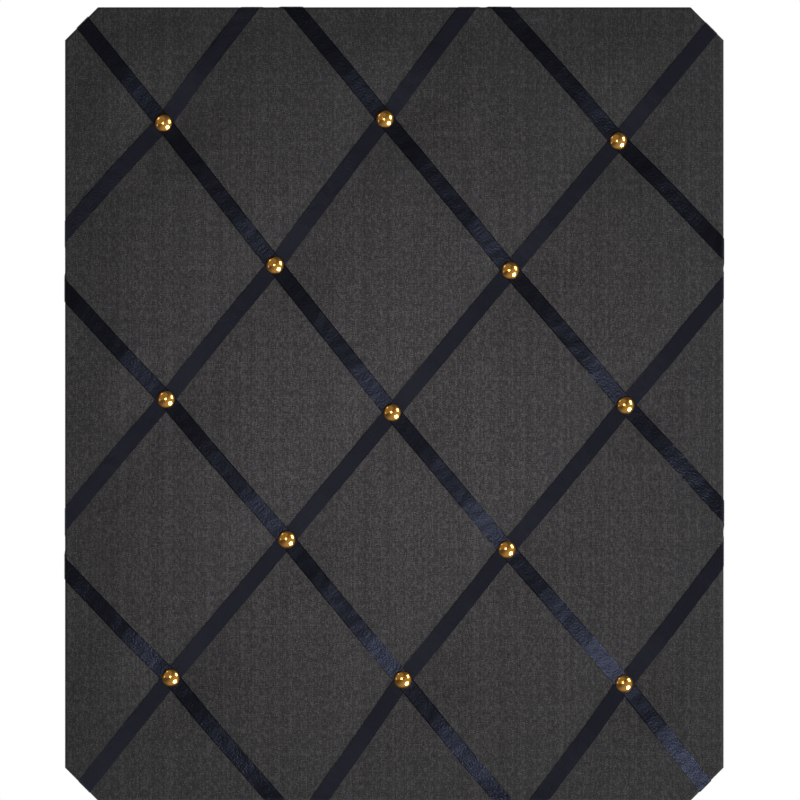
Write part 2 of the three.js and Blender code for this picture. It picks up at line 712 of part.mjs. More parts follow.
function makeScrew() {
  const crown = domeProfile(SCREW_HEAD_DIAMETER / 2, SCREW_HEAD_HEIGHT, 0, DOME_STEPS);
  const profile = [
    ...crown,
    flat(SCREW_DIAMETER / 2, 0),
    flat(SCREW_DIAMETER / 2, SCREW_LENGTH - SCREW_POINT),
    flat(0, SCREW_LENGTH),
  ];
  const body = new THREE.LatheGeometry(profile, ROUND_SIDES);
  const slot = new THREE.BoxGeometry(SCREW_HEAD_DIAMETER * 2, SCREW_SLOT_DEPTH * 2, SCREW_SLOT_WIDTH);
  slot.translate(0, -SCREW_HEAD_HEIGHT, 0);
  return toGeometry(toSolid(body).subtract(toSolid(slot))).rotateX(Math.PI);
}

function material(color, roughness, metalness) {
  return new THREE.MeshStandardMaterial({ color, roughness, metalness });
}

const fibreboard = material(0x9b7d58, 0.95, 0);
const wadding = material(0xe9e7e1, 1, 0);
const linen = material(0x3e3d3f, 0.9, 0);
const satin = material(0x10121a, 0.35, 0);
const gold = material(0xb98a34, 0.18, 1);
const steel = material(0xb8babd, 0.35, 1);

const board = new THREE.Group();

function piece(name, geometry, finish, parent = board) {
  const mesh = new THREE.Mesh(geometry, finish);
  mesh.name = name;
  parent.add(mesh);
  return mesh;
}

piece('backing_board', makeCore(), fibreboard);
piece('wadding_pad', makeWadding(), wadding);
piece('linen_cover', makeCover(), linen);
for (const ribbon of ribbons) piece(ribbon.name, makeRibbon(ribbon), satin);

const studGeometry = makeStud();
for (const stud of studs) {
  piece(`stud_${stud.name}`, studGeometry, gold).position.set(stud.at.x, 0, stud.at.y);
}

const strapGeometry = makeStrap();
const ringGeometry = makeRing();
const screwGeometry = makeScrew();
for (const { side, x, z } of hangers) {
  const hanger = new THREE.Group();
  hanger.position.set(x, 0, z);
  piece(`hanger_strap_${side}`, strapGeometry, steel, hanger);
  piece(`d_ring_${side}`, ringGeometry, steel, hanger);
  piece(`hanger_screw_${side}`, screwGeometry, steel, hanger).position.set(0, SCREW_SEAT_Y, -SCREW_DROP);
  board.add(hanger);
}

export default board;
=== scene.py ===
# %% [markdown]
# # A quilted memo board, dressed over its CAD frame
# The real board is a slab of soft fibreboard padded with wadding and covered in charcoal linen. Satin
# ribbons cross it in diamonds, and a domed stud pins each crossing down into a dimple. The CAD model
# gives every place and size, so the script loads it first and reads the boxes of its nodes.

# %% Load the frame
import json

import bmesh
import bpy
import numpy as np
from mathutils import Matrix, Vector


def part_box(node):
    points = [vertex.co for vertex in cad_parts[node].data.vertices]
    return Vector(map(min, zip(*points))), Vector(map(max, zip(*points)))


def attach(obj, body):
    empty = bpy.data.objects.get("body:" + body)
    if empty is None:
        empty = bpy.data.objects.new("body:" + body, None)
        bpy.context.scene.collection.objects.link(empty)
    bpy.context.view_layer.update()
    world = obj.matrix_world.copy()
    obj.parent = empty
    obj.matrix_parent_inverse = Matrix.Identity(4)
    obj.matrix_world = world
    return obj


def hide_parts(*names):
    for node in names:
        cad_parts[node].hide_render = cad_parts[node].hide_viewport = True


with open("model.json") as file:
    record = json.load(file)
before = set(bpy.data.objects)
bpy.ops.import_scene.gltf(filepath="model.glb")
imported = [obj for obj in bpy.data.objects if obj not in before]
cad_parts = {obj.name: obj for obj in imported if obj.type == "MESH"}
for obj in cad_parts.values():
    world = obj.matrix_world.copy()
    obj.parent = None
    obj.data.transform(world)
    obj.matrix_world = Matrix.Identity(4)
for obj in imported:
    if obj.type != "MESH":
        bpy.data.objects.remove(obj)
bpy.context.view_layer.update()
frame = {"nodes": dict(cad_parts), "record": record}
MM = 0.001

# %% [markdown]
# ## The outline
# The board is a rectangle with clipped corners, seen from the front along +Y. Cloth rolls round its
# edge, so the front is flat only inside a smaller outline, the rim. Every outline here is the same
# eight corners drawn in by an inset: the corners move along fixed lines, so a point of the edge at any
# inset is one sum of two arrays.

# %% Draw the outline
_, cover_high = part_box("linen_cover")
HALF_WIDTH = cover_high.x
HALF_HEIGHT = cover_high.z
BACK_FACE = cover_high.y
CORNER_CLIP = 25 * MM
CLIP_LOSS = 2 - np.sqrt(2)
EDGE_RADIUS = 2.5 * MM


def corners_at(inset):
    """Eight corners (x, z) of the outline drawn in by an inset, anticlockwise from the bottom right.

    A clip at 45 degrees gets shorter by 2 - sqrt(2) of the inset."""
    x = HALF_WIDTH - inset
    z = HALF_HEIGHT - inset
    clip = CORNER_CLIP - inset * CLIP_LOSS
    a = x - clip
    b = z - clip
    return np.array([[a, -z], [x, -b], [x, b], [a, z], [-a, z], [-x, b], [-x, -b], [-a, -z]])


OUTER = corners_at(0)
RIM = corners_at(EDGE_RADIUS)
INWARD = (RIM - OUTER) / EDGE_RADIUS
edge_along = np.roll(RIM, -1, axis=0) - RIM
edge_along /= np.linalg.norm(edge_along, axis=1, keepdims=True)
edge_out = np.stack([edge_along[:, 1], -edge_along[:, 0]], axis=1)
print("rim corners in mm:", (RIM / MM).round(1).tolist())

# %% [markdown]
# ## The lattice
# Thirteen studs stand on a diamond lattice, set by hand and so a few millimetres off it. Their places
# are read from the CAD nodes. A ribbon runs through the studs of one diagonal and leaves over the edge,
# where it strays a little along the edge too. "Falling" ribbons go down to the right and lie on top.

# %% Find the studs
STUD_ROWS = "abcde"
WIDE_ROW = (-2, 0, 2)
NARROW_ROW = (-1, 1)

stud_cells = {}
for down, letter in enumerate(STUD_ROWS):
    for along, column in enumerate(NARROW_ROW if down % 2 else WIDE_ROW):
        stud_cells[f"stud_{letter}{along + 1}"] = (column, len(STUD_ROWS) // 2 - down)


def centre_of(node):
    """Middle of a node's box seen from the front, (x, z)."""
    low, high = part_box(node)
    return np.array([low.x + high.x, low.z + high.z]) / 2


studs = {name: centre_of(name) for name in stud_cells}
stud_points = np.array(list(studs.values()))
print("the first stud stands at, mm:", (stud_points[0] / MM).round(1).tolist())

# %% Lay out the ribbons
PITCH_X = 86.25 * MM
PITCH_Z = 104.5 * MM
LANES = (-4, -2, 0, 2, 4)
END_DRIFT = {
    "falling": ((13.5, 3), (10, 0.5), (-1, -2), (0, 9), (5.5, 13.5)),
    "rising": ((-7.5, 6), (-1.5, 7), (2, 0), (11.5, -0.5), (7.5, 7)),
}


def leave_board(stud, heading, drift):
    """Where a line from a stud meets the rim, moved along that edge by the drift, and the edge's number."""
    speed = edge_out @ heading
    reach = np.sum((RIM - stud) * edge_out, axis=1) / speed
    edge = int(np.argmin(np.where(speed > 0, reach, np.inf)))
    return stud + heading * reach[edge] + edge_along[edge] * drift * MM, edge


def lay_out_ribbon(fall, lane, drifts):
    """Knots (x, z) of a ribbon from left to right: the rim, its studs, the rim.

    Its studs are those whose column + fall * row is the lane."""
    pins = sorted(
        studs[name].tolist() for name, (column, row) in stud_cells.items() if column + fall * row == lane
    )
    onward = np.array([PITCH_X, -fall * PITCH_Z])
    onward /= np.linalg.norm(onward)
    left, left_edge = leave_board(np.array(pins[0]), -onward, drifts[0])
    right, right_edge = leave_board(np.array(pins[-1]), onward, drifts[1])
    return {"knots": np.array([left, *pins, right]), "edges": (left_edge, right_edge), "on_top": fall > 0}


ribbons = {}
for kind, fall in (("falling", 1), ("rising", -1)):
    for number, lane in enumerate(LANES):
        ribbons[f"ribbon_{kind}_{number + 1}"] = lay_out_ribbon(fall, lane, END_DRIFT[kind][number])
spans = np.concatenate([np.stack([r["knots"][:-1], r["knots"][1:]], axis=1) for r in ribbons.values()])
print(len(studs), "studs,", len(ribbons), "ribbons in", len(spans), "spans")

# %% [markdown]
# ## The quilted front
# Wadding swells between the ribbons and sinks under the studs. The front is a height field: for a point
# of the front it gives the cloth's level, its distance in front of the core's back. It blends a few
# levels by how near the point is to a stud, a ribbon or the rim, each with a smoothstep, so that no
# crease shows where they meet.

# %% Work out the taut level
LEVEL_AT_STUD = 16.6 * MM
LEVEL_AT_RIBBON = 22.2 * MM
LEVEL_AT_CROWN = 24 * MM
LEVEL_AT_EDGE = 19.4 * MM
DIMPLE_RUN = 50 * MM
PILLOW_RUN = 45 * MM
EDGE_RUN = 45 * MM
RIBBON_WIDTH = 12 * MM
TRACK_HALF = 7 * MM


def smoothstep(value, low, high):
    """0 below low, 1 above high, and 3t^2 - 2t^3 of the share t in between."""
    t = np.clip((value - low) / (high - low), 0, 1)
    return t * t * (3 - 2 * t)


def mix(a, b, share):
    """a at share 0, b at share 1, and a straight line in between."""
    return a + (b - a) * share


def near_stud(p):
    """Distance from each point to the nearest stud."""
    return np.linalg.norm(p[..., None, :] - stud_points, axis=-1).min(axis=-1)


def near_ribbon(p):
    """Distance from each point to the nearest ribbon's middle line, taken over its straight spans."""
    start, run = spans[:, 0], spans[:, 1] - spans[:, 0]
    way = p[..., None, :] - start
    share = np.clip(np.sum(way * run, axis=-1) / np.sum(run * run, axis=-1), 0, 1)
    return np.linalg.norm(way - share[..., None] * run, axis=-1).min(axis=-1)


def inside_rim(p):
    """Distance from each point to the nearest rim edge, positive inside."""
    return np.sum((RIM - p[..., None, :]) * edge_out, axis=-1).min(axis=-1)


def taut_level(p):
    """Ribbon level rising to crown level away from ribbons, drawn down near studs and towards the rim."""
    away = smoothstep(near_ribbon(p), TRACK_HALF, TRACK_HALF + PILLOW_RUN)
    pillow = mix(LEVEL_AT_RIBBON, LEVEL_AT_CROWN, away)
    dimpled = mix(LEVEL_AT_STUD, pillow, smoothstep(near_stud(p), 0, DIMPLE_RUN))
    return mix(LEVEL_AT_EDGE, dimpled, smoothstep(inside_rim(p), 0, EDGE_RUN))


print("taut level at the first stud, mm:", float(taut_level(stud_points[:1])[0] / MM))

# %% [markdown]
# ## From arrays to meshes
# Each piece is a grid of points worked out as one array. Two helpers put it into Blender: one numbers
# the quads of a grid, the other fills a mesh with foreach_set, smooth shaded, with a UV map in metres
# where a weave needs one.

# %% Helpers for grids and pieces


def grid_quads(rows, columns, around=False):
    """Corner numbers of a grid's quads, row by row; around also joins the last column to the first."""
    i = np.arange(rows - 1)[:, None] * columns
    j = np.arange(columns if around else columns - 1)[None, :]
    k = (j + 1) % columns
    return np.stack([i + j, i + k, i + columns + k, i + columns + j], axis=-1).reshape(-1, 4)


def make_piece(name, points, quads, uv=None):
    """A smooth mesh object of points (n, 3) and quads (m, 4), with a UV map if uv (m, 4, 2) is given."""
    mesh = bpy.data.meshes.new(name)
    mesh.vertices.add(len(points))
    mesh.vertices.foreach_set("co", np.ascontiguousarray(points, np.float32).ravel())
    mesh.loops.add(quads.size)
    mesh.loops.foreach_set("vertex_index", np.ascontiguousarray(quads, np.int32).ravel())
    mesh.polygons.add(len(quads))
    mesh.polygons.foreach_set("loop_start", np.arange(0, quads.size, 4, dtype=np.int32))
    mesh.update(calc_edges=True)
    mesh.shade_smooth()
    if uv is not None:
        layer = mesh.uv_layers.new(name="unrolled")
        layer.uv.foreach_set("vector", np.ascontiguousarray(uv, np.float32).ravel())
    piece = bpy.data.objects.new(name, mesh)
    bpy.context.scene.collection.objects.link(piece)
    return piece


def on_front(p, level):
    """Points (x, -level, z) from places (x, z) seen from the front."""
    return np.stack([p[..., 0], -level, p[..., 1]], axis=-1)


print("the first stud on the taut cloth:", on_front(stud_points[0], taut_level(stud_points[0])).round(4))

# %% [markdown]
# ## Letting the cloth swell
# Wadding pushes the linen out between the ribbons, and small puckers run from the studs. That is a job
# for cloth simulation: a coarse sheet starts at the taut level, is pinned along the ribbons and the
# rim, and a light pressure swells the rest for a few frames. Only how far each point came forward is
# kept, as a relief for the fine meshes.

# %% Simulate the swelling
SWELL_FRAMES = 20
SWELL_CLOTH = {
    "quality": 6, "mass": 0.2, "tension_stiffness": 20, "compression_stiffness": 20, "shear_stiffness": 8,
    "bending_stiffness": 0.3, "shrink_min": -0.003, "use_pressure": True, "uniform_pressure_force": 0.8,
}


def simulate_swelling(p, held):
    """How far a pinned sheet at the taut level comes forward under pressure, on a (rows, columns) grid."""
    rows, columns = held.shape
    start = on_front(p, taut_level(p))
    trial = make_piece("swelling_trial", start.reshape(-1, 3), grid_quads(rows, columns))
    group = trial.vertex_groups.new(name="held")
    group.add(np.flatnonzero(held).tolist(), 1.0, "REPLACE")
    cloth = trial.modifiers.new("swell", "CLOTH")
    for setting, value in SWELL_CLOTH.items():
        setattr(cloth.settings, setting, value)
    cloth.settings.vertex_group_mass = group.name
    cloth.settings.effector_weights.gravity = 0
    cloth.collision_settings.use_collision = False
    for number in range(1, SWELL_FRAMES + 1):
        bpy.context.scene.frame_set(number)
    settled = trial.evaluated_get(bpy.context.evaluated_depsgraph_get()).data
    found = np.empty(start.size, np.float32)
    settled.vertices.foreach_get("co", found)
    bpy.data.objects.remove(trial)
    bpy.context.scene.frame_set(1)
    return start[..., 1] - found.reshape(start.shape)[..., 1]


print("cloth settings:", SWELL_CLOTH)

# %% Swell the front
TRIAL_STEP = 4 * MM
SWELL_MOST = 1.6 * MM
trial_x = np.linspace(RIM[:, 0].min(), RIM[:, 0].max(), round(2 * HALF_WIDTH / TRIAL_STEP))
trial_z = np.linspace(RIM[:, 1].min(), RIM[:, 1].max(), round(2 * HALF_HEIGHT / TRIAL_STEP))
trial_points = np.stack(np.meshgrid(trial_x, trial_z), axis=-1)
held_down = (near_ribbon(trial_points) < RIBBON_WIDTH / 2) | (inside_rim(trial_points) < TRIAL_STEP)
held_down |= near_stud(trial_points) < RIBBON_WIDTH
swelling = np.zeros(held_down.shape)
swelling = simulate_swelling(trial_points, held_down)
print("swelling in mm, middle and most:", np.median(swelling) / MM, swelling.max() / MM)
swelling = SWELL_MOST * np.tanh(np.maximum(swelling, 0) / SWELL_MOST)


def relief_at(p):
    """The swelling at any point, weighed between the four trial points round it."""
    u = np.interp(p[..., 0], trial_x, np.arange(len(trial_x)))
    v = np.interp(p[..., 1], trial_z, np.arange(len(trial_z)))
    i = np.minimum(v.astype(int), len(trial_z) - 2)
    j = np.minimum(u.astype(int), len(trial_x) - 2)
    low = mix(swelling[i, j], swelling[i, j + 1], u - j)
    high = mix(swelling[i + 1, j], swelling[i + 1, j + 1], u - j)
    return mix(low, high, v - i)


def cloth_level(p):
    """The taut level plus the swelling."""
    return taut_level(p) + relief_at(p)


# %% [markdown]
# ## Round the edge
# From the rim the cloth rolls over the front edge, runs down the side, rolls again and is turned in on
# the back. One function gives this section: unrolled length in, inset and depth out. The linen, the
# wadding and the ribbons all use it with their own offset outwards. Where two turned-in edges meet at a
# corner, the spare cloth gathers into a low pleat along the corner's line.

# %% Section of the edge and pleats of the turn-in
BACK_RADIUS = 1.5 * MM
TURN_IN = 40 * MM
ROLL_LENGTH = EDGE_RADIUS * np.pi / 2
SIDE_LENGTH = LEVEL_AT_EDGE - EDGE_RADIUS + BACK_FACE - BACK_RADIUS
SIDE_END = ROLL_LENGTH + SIDE_LENGTH
BACK_START = SIDE_END + BACK_RADIUS * np.pi / 2
UNROLLED = BACK_START + TURN_IN - BACK_RADIUS
PLEAT_RISE = 1.1 * MM
PLEAT_HALF = 3.5 * MM


def over_edge(w, offset=0.0):
    """Inset and y at unrolled length w: a quarter roll, the side, a smaller roll, the flat turn-in."""
    a = np.clip(w / EDGE_RADIUS, 0, np.pi / 2)
    b = np.clip((w - SIDE_END) / BACK_RADIUS, 0, np.pi / 2)
    side = np.clip(w - ROLL_LENGTH, 0, SIDE_LENGTH)
    flat = np.maximum(w - BACK_START, 0)
    front_part = w < SIDE_END
    inset_front = EDGE_RADIUS - (EDGE_RADIUS + offset) * np.sin(a)
    y_front = EDGE_RADIUS - LEVEL_AT_EDGE - (EDGE_RADIUS + offset) * np.cos(a) + side
    inset_back = BACK_RADIUS - (BACK_RADIUS + offset) * np.cos(b) + flat
    y_back = BACK_FACE - BACK_RADIUS + (BACK_RADIUS + offset) * np.sin(b)
    return np.where(front_part, inset_front, inset_back), np.where(front_part, y_front, y_back)


def pleat_rise(p):
    """Height of the pleats on the back: a bell across each corner's line that grows towards the raw edge."""
    line = INWARD / np.linalg.norm(INWARD, axis=1, keepdims=True)
    way = p[..., None, :] - OUTER
    off = way[..., 0] * line[:, 1] - way[..., 1] * line[:, 0]
    along = np.sum(way * line, axis=-1)
    grown = smoothstep(along, EDGE_RADIUS, TURN_IN) * (along < 2 * TURN_IN)
    return PLEAT_RISE * np.max(grown * np.exp(-((off / PLEAT_HALF) ** 2)), axis=-1)


print("unrolled from rim to raw edge, mm:", round(UNROLLED / MM, 1))

# %% [markdown]
# ## The linen cover
# The front is a grid whose rows shrink at the clipped corners, so its border is exactly the rim. Rings
# of the same border points then follow the edge section to the raw edge on the back, which wanders a
# little as hand-cut cloth does. The UV map is the unrolled cloth in metres: past the rim a point lies
# as far straight out as the section has used up, so the weave runs on over the edge and meets at a
# mitre in the corners. Solidify adds the thickness.

# %% Lay out the cover's grid
FRONT_COLUMNS = 150
CLIP_ROWS = 8
SIDE_ROWS = 164


def front_grid(columns, clip_rows, side_rows):
    """Places (rows, columns, 2) filling the rim: rows of constant z, each cut evenly from side to side."""
    z_low, z_clip = RIM[0, 1], RIM[1, 1]
    clip = np.linspace(z_low, z_clip, clip_rows + 1)
    z = np.concatenate([clip[:-1], np.linspace(z_clip, -z_clip, side_rows + 1), -clip[-2::-1]])
    half = np.interp(np.abs(z), [-z_clip, -z_low], [RIM[1, 0], RIM[0, 0]])
    across = np.linspace(-1, 1, columns + 1)
    return np.stack(np.broadcast_arrays(half[:, None] * across, z[:, None]), axis=-1)


def border_of(rows, columns):
    """Numbers of a grid's border points, anticlockwise from the bottom right."""
    number = np.arange(rows * columns).reshape(rows, columns)
    return np.concatenate([number[:, -1], number[-1, -2::-1], number[-2::-1, 0], number[0, 1:-1]])


def border_share(columns, clip_rows, side_rows):
    """For each border point its outline edge and its share along that edge, in the border's order."""
    counts = (clip_rows, side_rows, clip_rows, columns, clip_rows, side_rows, clip_rows, columns)
    edge = np.repeat(np.arange(len(counts)), counts)
    share = np.concatenate([np.arange(n) / n for n in counts])
    return edge, share


print("points along the cover's border:", len(border_share(FRONT_COLUMNS, CLIP_ROWS, SIDE_ROWS)[0]))

# %% Carry the border round the edge
SECTION_STOPS = (0, ROLL_LENGTH, SIDE_END, BACK_START)
LINEN_STEPS = (6, 4, 3, 9)


def loop_quads(loops):
    """Quads joining each loop of point numbers, (loops, points), to the next one outwards."""
    ahead = np.roll(loops, -1, axis=1)
    return np.stack([loops[:-1], loops[1:], ahead[1:], ahead[:-1]], axis=-1).reshape(-1, 4)


def edge_places(edge, share):
    """Outer border points (n, 2) and how each moves per inset, blended between its edge's corners."""
    after = (edge + 1) % len(OUTER)
    return mix(OUTER[edge], OUTER[after], share[:, None]), mix(INWARD[edge], INWARD[after], share[:, None])


def steps_along(stops, steps):
    """Lengths that cut each stretch between two stops into equal steps; the first stop is left out."""
    stretches = zip(stops[:-1], stops[1:], steps)
    return np.concatenate([np.linspace(low, high, count + 1)[1:] for low, high, count in stretches])


print("rings from the rim to the raw edge:", sum(LINEN_STEPS))

# %% Make the linen cover
LINEN_THICKNESS = 0.6 * MM
RAW_EDGE_WANDER = 2 * MM
WANDER_WAVES = ((9, 1, 0), (23, 0.7, 1), (57, 0.4, 2))


def make_linen_cover():
    """The front grid on the cloth's level, then a ring of border points for each step of the edge section."""
    front = front_grid(FRONT_COLUMNS, CLIP_ROWS, SIDE_ROWS)
    rows, columns = front.shape[:2]
    border = border_of(rows, columns)
    edge, share = border_share(FRONT_COLUMNS, CLIP_ROWS, SIDE_ROWS)
    outer, inward = edge_places(edge, share)
    w = steps_along((*SECTION_STOPS, UNROLLED), LINEN_STEPS)
    inset, y = over_edge(w)
    round_trip = np.linspace(0, 2 * np.pi, len(border), endpoint=False)
    wander = sum(height * np.sin(waves * round_trip + phase) for waves, height, phase in WANDER_WAVES)
    turned = np.maximum(w - BACK_START, 0) / (UNROLLED - BACK_START)
    inset = inset[:, None] + RAW_EDGE_WANDER * wander * turned[:, None] ** 2
    flat = outer + inset[..., None] * inward
    deep = y[:, None] + pleat_rise(flat) * (turned[:, None] > 0)
    rings = np.stack([flat[..., 0], deep, flat[..., 1]], axis=-1)
    points = np.concatenate([on_front(front, cloth_level(front)).reshape(-1, 3), rings.reshape(-1, 3)])
    seen = np.concatenate([front.reshape(-1, 2)[border][None], flat])
    used = np.concatenate([np.zeros((1, len(border))), w[:, None] + inset - EDGE_RADIUS])[..., None]
    unrolled = seen + used * edge_out[edge]
    ahead = np.roll(seen, -1, axis=1) + np.roll(used, -1, axis=1) * edge_out[edge]
    uv_rings = np.stack([unrolled[:-1], unrolled[1:], ahead[1:], ahead[:-1]], axis=2).reshape(-1, 4, 2)
    loops = rows * columns + np.arange(len(w) * len(border)).reshape(len(w), -1)
    inside = grid_quads(rows, columns)
    quads = np.concatenate([inside, loop_quads(np.concatenate([border[None], loops]))])
    uv = np.concatenate([front.reshape(-1, 2)[inside], uv_rings])
    cover = make_piece("linen_sheet", points, quads, uv)
    wall = cover.modifiers.new("thickness", "SOLIDIFY")
    wall.thickness = LINEN_THICKNESS
    wall.offset = -1
    return cover


linen_sheet = make_linen_cover()

# %% [markdown]
# ## The wadding
# A layer of white polyester wadding lies between the core and the linen and wraps the core's sides.
# Nothing shows it while the cover is on, yet it is a piece of the board, so it gets a closed form: the
# cloth's front a little lower, the edge section a little smaller, and a hollow underneath for the core.

# %% Make the wadding
UNDER_CLOTH = 1.1 * MM
CORE_FACE = 12.3 * MM
WADDING_INSET = 3.6 * MM
WADDING_SHORT = 1.2 * MM
WADDING_END = SIDE_END - WADDING_SHORT
WADDING_COLUMNS = 96
WADDING_CLIP_ROWS = 4
WADDING_SIDE_ROWS = 104
WADDING_STEPS = (5, 4)


def make_wadding():
    """The cover's front and edge lowered, then in to the core's outline and back along its face."""
    front = front_grid(WADDING_COLUMNS, WADDING_CLIP_ROWS, WADDING_SIDE_ROWS)
    rows, columns = front.shape[:2]
    border = border_of(rows, columns)
    outer, inward = edge_places(*border_share(WADDING_COLUMNS, WADDING_CLIP_ROWS, WADDING_SIDE_ROWS))
    w = steps_along((0, ROLL_LENGTH, WADDING_END), WADDING_STEPS)
    inset, y = over_edge(w, -UNDER_CLOTH)
    inset = np.concatenate([inset, [WADDING_INSET, WADDING_INSET]])
    y = np.concatenate([y, [y[-1], -CORE_FACE]])
    flat = outer + inset[:, None, None] * inward
    deep = np.broadcast_to(y[:, None], flat.shape[:2])
    rings = np.stack([flat[..., 0], deep, flat[..., 1]], axis=-1).reshape(-1, 3)
    above = on_front(front, cloth_level(front) - UNDER_CLOTH).reshape(-1, 3)
    beneath = on_front(front, np.full(front.shape[:2], CORE_FACE)).reshape(-1, 3)
    points = np.concatenate([above, rings, beneath])
    under = len(above) + len(rings)
    loops = len(above) + np.arange(len(rings)).reshape(len(y), -1)
    sides = loop_quads(np.concatenate([border[None], loops, border[None] + under]))
    top = grid_quads(rows, columns)
    quads = np.concatenate([top, sides, top[:, ::-1] + under])
    return make_piece("wadding_layer", points, quads)


wadding_layer = make_wadding()
print("wadding faces:", len(wadding_layer.data.polygons))

# %% [markdown]
# ## The satin ribbons
# A ribbon is a strip carried along its knots: rows across it every few millimetres, each point laid on
# the cloth's level. Towards the rim the rows turn until they lie along the edge, and from there the
# strip follows the edge section as if it were unrolled, to its tail on the back. The top ribbons hop
# over the lower ones at each stud. A slight crown across the strip and slow ripples along it break up
# the sheen as on real satin. The points of a row crowd at its ends, so that smooth shading leaves the
# strip's edges crisp.

# %% Points across a ribbon
ACROSS_POINTS = 13
CROWN_RISE = 0.12 * MM
across_steps = RIBBON_WIDTH / 2 * np.sin(np.linspace(-np.pi / 2, np.pi / 2, ACROSS_POINTS))
crown = CROWN_RISE * (1 - (across_steps / across_steps.max()) ** 2)


def square_to(heading):
    """The direction across a heading, to its right seen from the front."""
    return np.stack([heading[..., 1], -heading[..., 0]], axis=-1)


print("points across a ribbon, mm:", (across_steps / MM).round(1))

# %% Rows over the front
RIBBON_GAP = 0.08 * MM
RIBBON_LAYER = 0.25 * MM
CROSSING_HALF = 8.3 * MM
HOP_RUN = 25 * MM
KINK_RUN = 6 * MM
TURN_RUN = 30 * MM
ROW_STEP = 2 * MM
RIPPLE_RISE = 0.12 * MM
RIPPLE_LONG = 9 * MM
RIPPLE_SHORT = 5.3 * MM


def front_rows(ribbon, phase):
    """Rows of the strip over the front: places along the knots, across the smoothed heading, on the cloth."""
    knots = ribbon["knots"]
    run = np.diff(knots, axis=0)
    lengths = np.linalg.norm(run, axis=1)
    passed = np.concatenate([[0], np.cumsum(lengths)])
    pins, total = passed[1:-1], passed[-1]
    s = np.linspace(0, total, round(total / ROW_STEP) + 1)
    middle = np.stack([np.interp(s, passed, knots[:, axis]) for axis in (0, 1)], axis=-1)
    kinks = np.repeat(pins, 2) + np.tile([-KINK_RUN, KINK_RUN], len(pins))
    turns = np.concatenate([[0], kinks, [total]])
    angles = np.arctan2(run[:, 1], run[:, 0])
    angle = np.interp(s, turns, np.repeat(angles, 2))
    heading = np.stack([np.cos(angle), np.sin(angle)], axis=-1)
    across = square_to(heading)
    for edge, away in zip(ribbon["edges"], (s, total - s)):
        slip = (across @ edge_out[edge]) / (heading @ edge_out[edge])
        across = across - heading * (slip * (1 - smoothstep(away, 0, TURN_RUN)))[:, None]
    flat = middle[:, None] + across[:, None] * across_steps[:, None]
    loose = smoothstep(np.minimum(s, total - s), 0, TURN_RUN)
    hop = np.zeros(len(s))
    if ribbon["on_top"]:
        to_stud = np.abs(s[:, None] - pins).min(axis=1)
        past_stud = smoothstep(to_stud, CROSSING_HALF, CROSSING_HALF + HOP_RUN)
        hop = 1 - np.minimum(past_stud, loose)
    waves = np.sin(s / RIPPLE_LONG + phase) + np.sin(s / RIPPLE_SHORT + 2 * phase)
    ripple = RIPPLE_RISE * (1 + waves / 2)
    lift = (RIBBON_GAP + hop * RIBBON_LAYER)[:, None] + loose[:, None] * (ripple[:, None] + crown)
    level = cloth_level(flat) + lift
    return on_front(flat, level), heading, total


print("rows on the first ribbon's front:", len(front_rows(ribbons["ribbon_falling_1"], phase=0)[0]))

# %% Rows round the edge
TAIL_SHORT = 5 * MM
RIBBON_STEPS = (7, 5, 4, 13)


def edge_rows(exit_point, edge, heading, on_top):
    """Rows from the rim outwards, unrolled straight on: each step also slides along the edge."""
    out, along = edge_out[edge], edge_along[edge]
    across = square_to(heading)
    across = across - heading * (across @ out) / (heading @ out)
    slope = (heading @ along) / (heading @ out)
    w = steps_along((*SECTION_STOPS, UNROLLED - TAIL_SHORT), RIBBON_STEPS)
    inset, y = over_edge(w, RIBBON_GAP + RIBBON_LAYER * on_top)
    start = exit_point + across * across_steps[:, None]
    flat = start + along * (slope * w)[:, None, None] + out * (EDGE_RADIUS - inset)[:, None, None]
    deep = y[:, None] + pleat_rise(flat) * (w > BACK_START)[:, None]
    return np.stack([flat[..., 0], deep, flat[..., 1]], axis=-1), w * np.hypot(1, slope)


print("rows in a tail:", sum(RIBBON_STEPS))

# %% Make the ribbons
RIBBON_THICKNESS = 0.2 * MM
TAIL_ROWS = 4


def make_ribbon(name, ribbon, phase):
    """One strip: the left tail's rows turned round, the front's rows, the right tail's rows."""
    front, heading, total = front_rows(ribbon, phase)
    knots, edges, on_top = ribbon["knots"], ribbon["edges"], ribbon["on_top"]
    left, left_way = edge_rows(knots[0], edges[0], heading[0], on_top)
    right, right_way = edge_rows(knots[-1], edges[1], heading[-1], on_top)
    points = np.concatenate([left[::-1], front, right])
    way = np.concatenate([-left_way[::-1], np.linspace(0, total, len(front)), total + right_way])
    uv = np.stack(np.broadcast_arrays(across_steps, way[:, None]), axis=-1)
    quads = grid_quads(*points.shape[:2])
    strip = make_piece(name, points.reshape(-1, 3), quads, uv.reshape(-1, 2)[quads])
    wall = strip.modifiers.new("thickness", "SOLIDIFY")
    wall.thickness = RIBBON_THICKNESS
    wall.offset = 1
    return strip, way[-1] - way[0], (left[-TAIL_ROWS], right[-TAIL_ROWS])


strips = {}
tails = []
for number, (name, ribbon) in enumerate(ribbons.items()):
    strip, length, ends = make_ribbon(name.replace("ribbon", "satin_strip"), ribbon, phase=number)
    strips[name] = (strip, length)
    tails += ends
print("ribbon lengths, mm:", [round(length / MM) for _, length in strips.values()])

# %% [markdown]
# ## The studs
# Upholstery studs are pressed from thin sheet: a smooth dome with its rim rolled under, on a pointed
# shank. That is a profile turned round an axis, so a profile of radius and level becomes a grid of
# profile points times angles. The points on the axis are merged, so both poles are closed.

# %% Turn profiles and close poles
WELD = 0.001 * MM


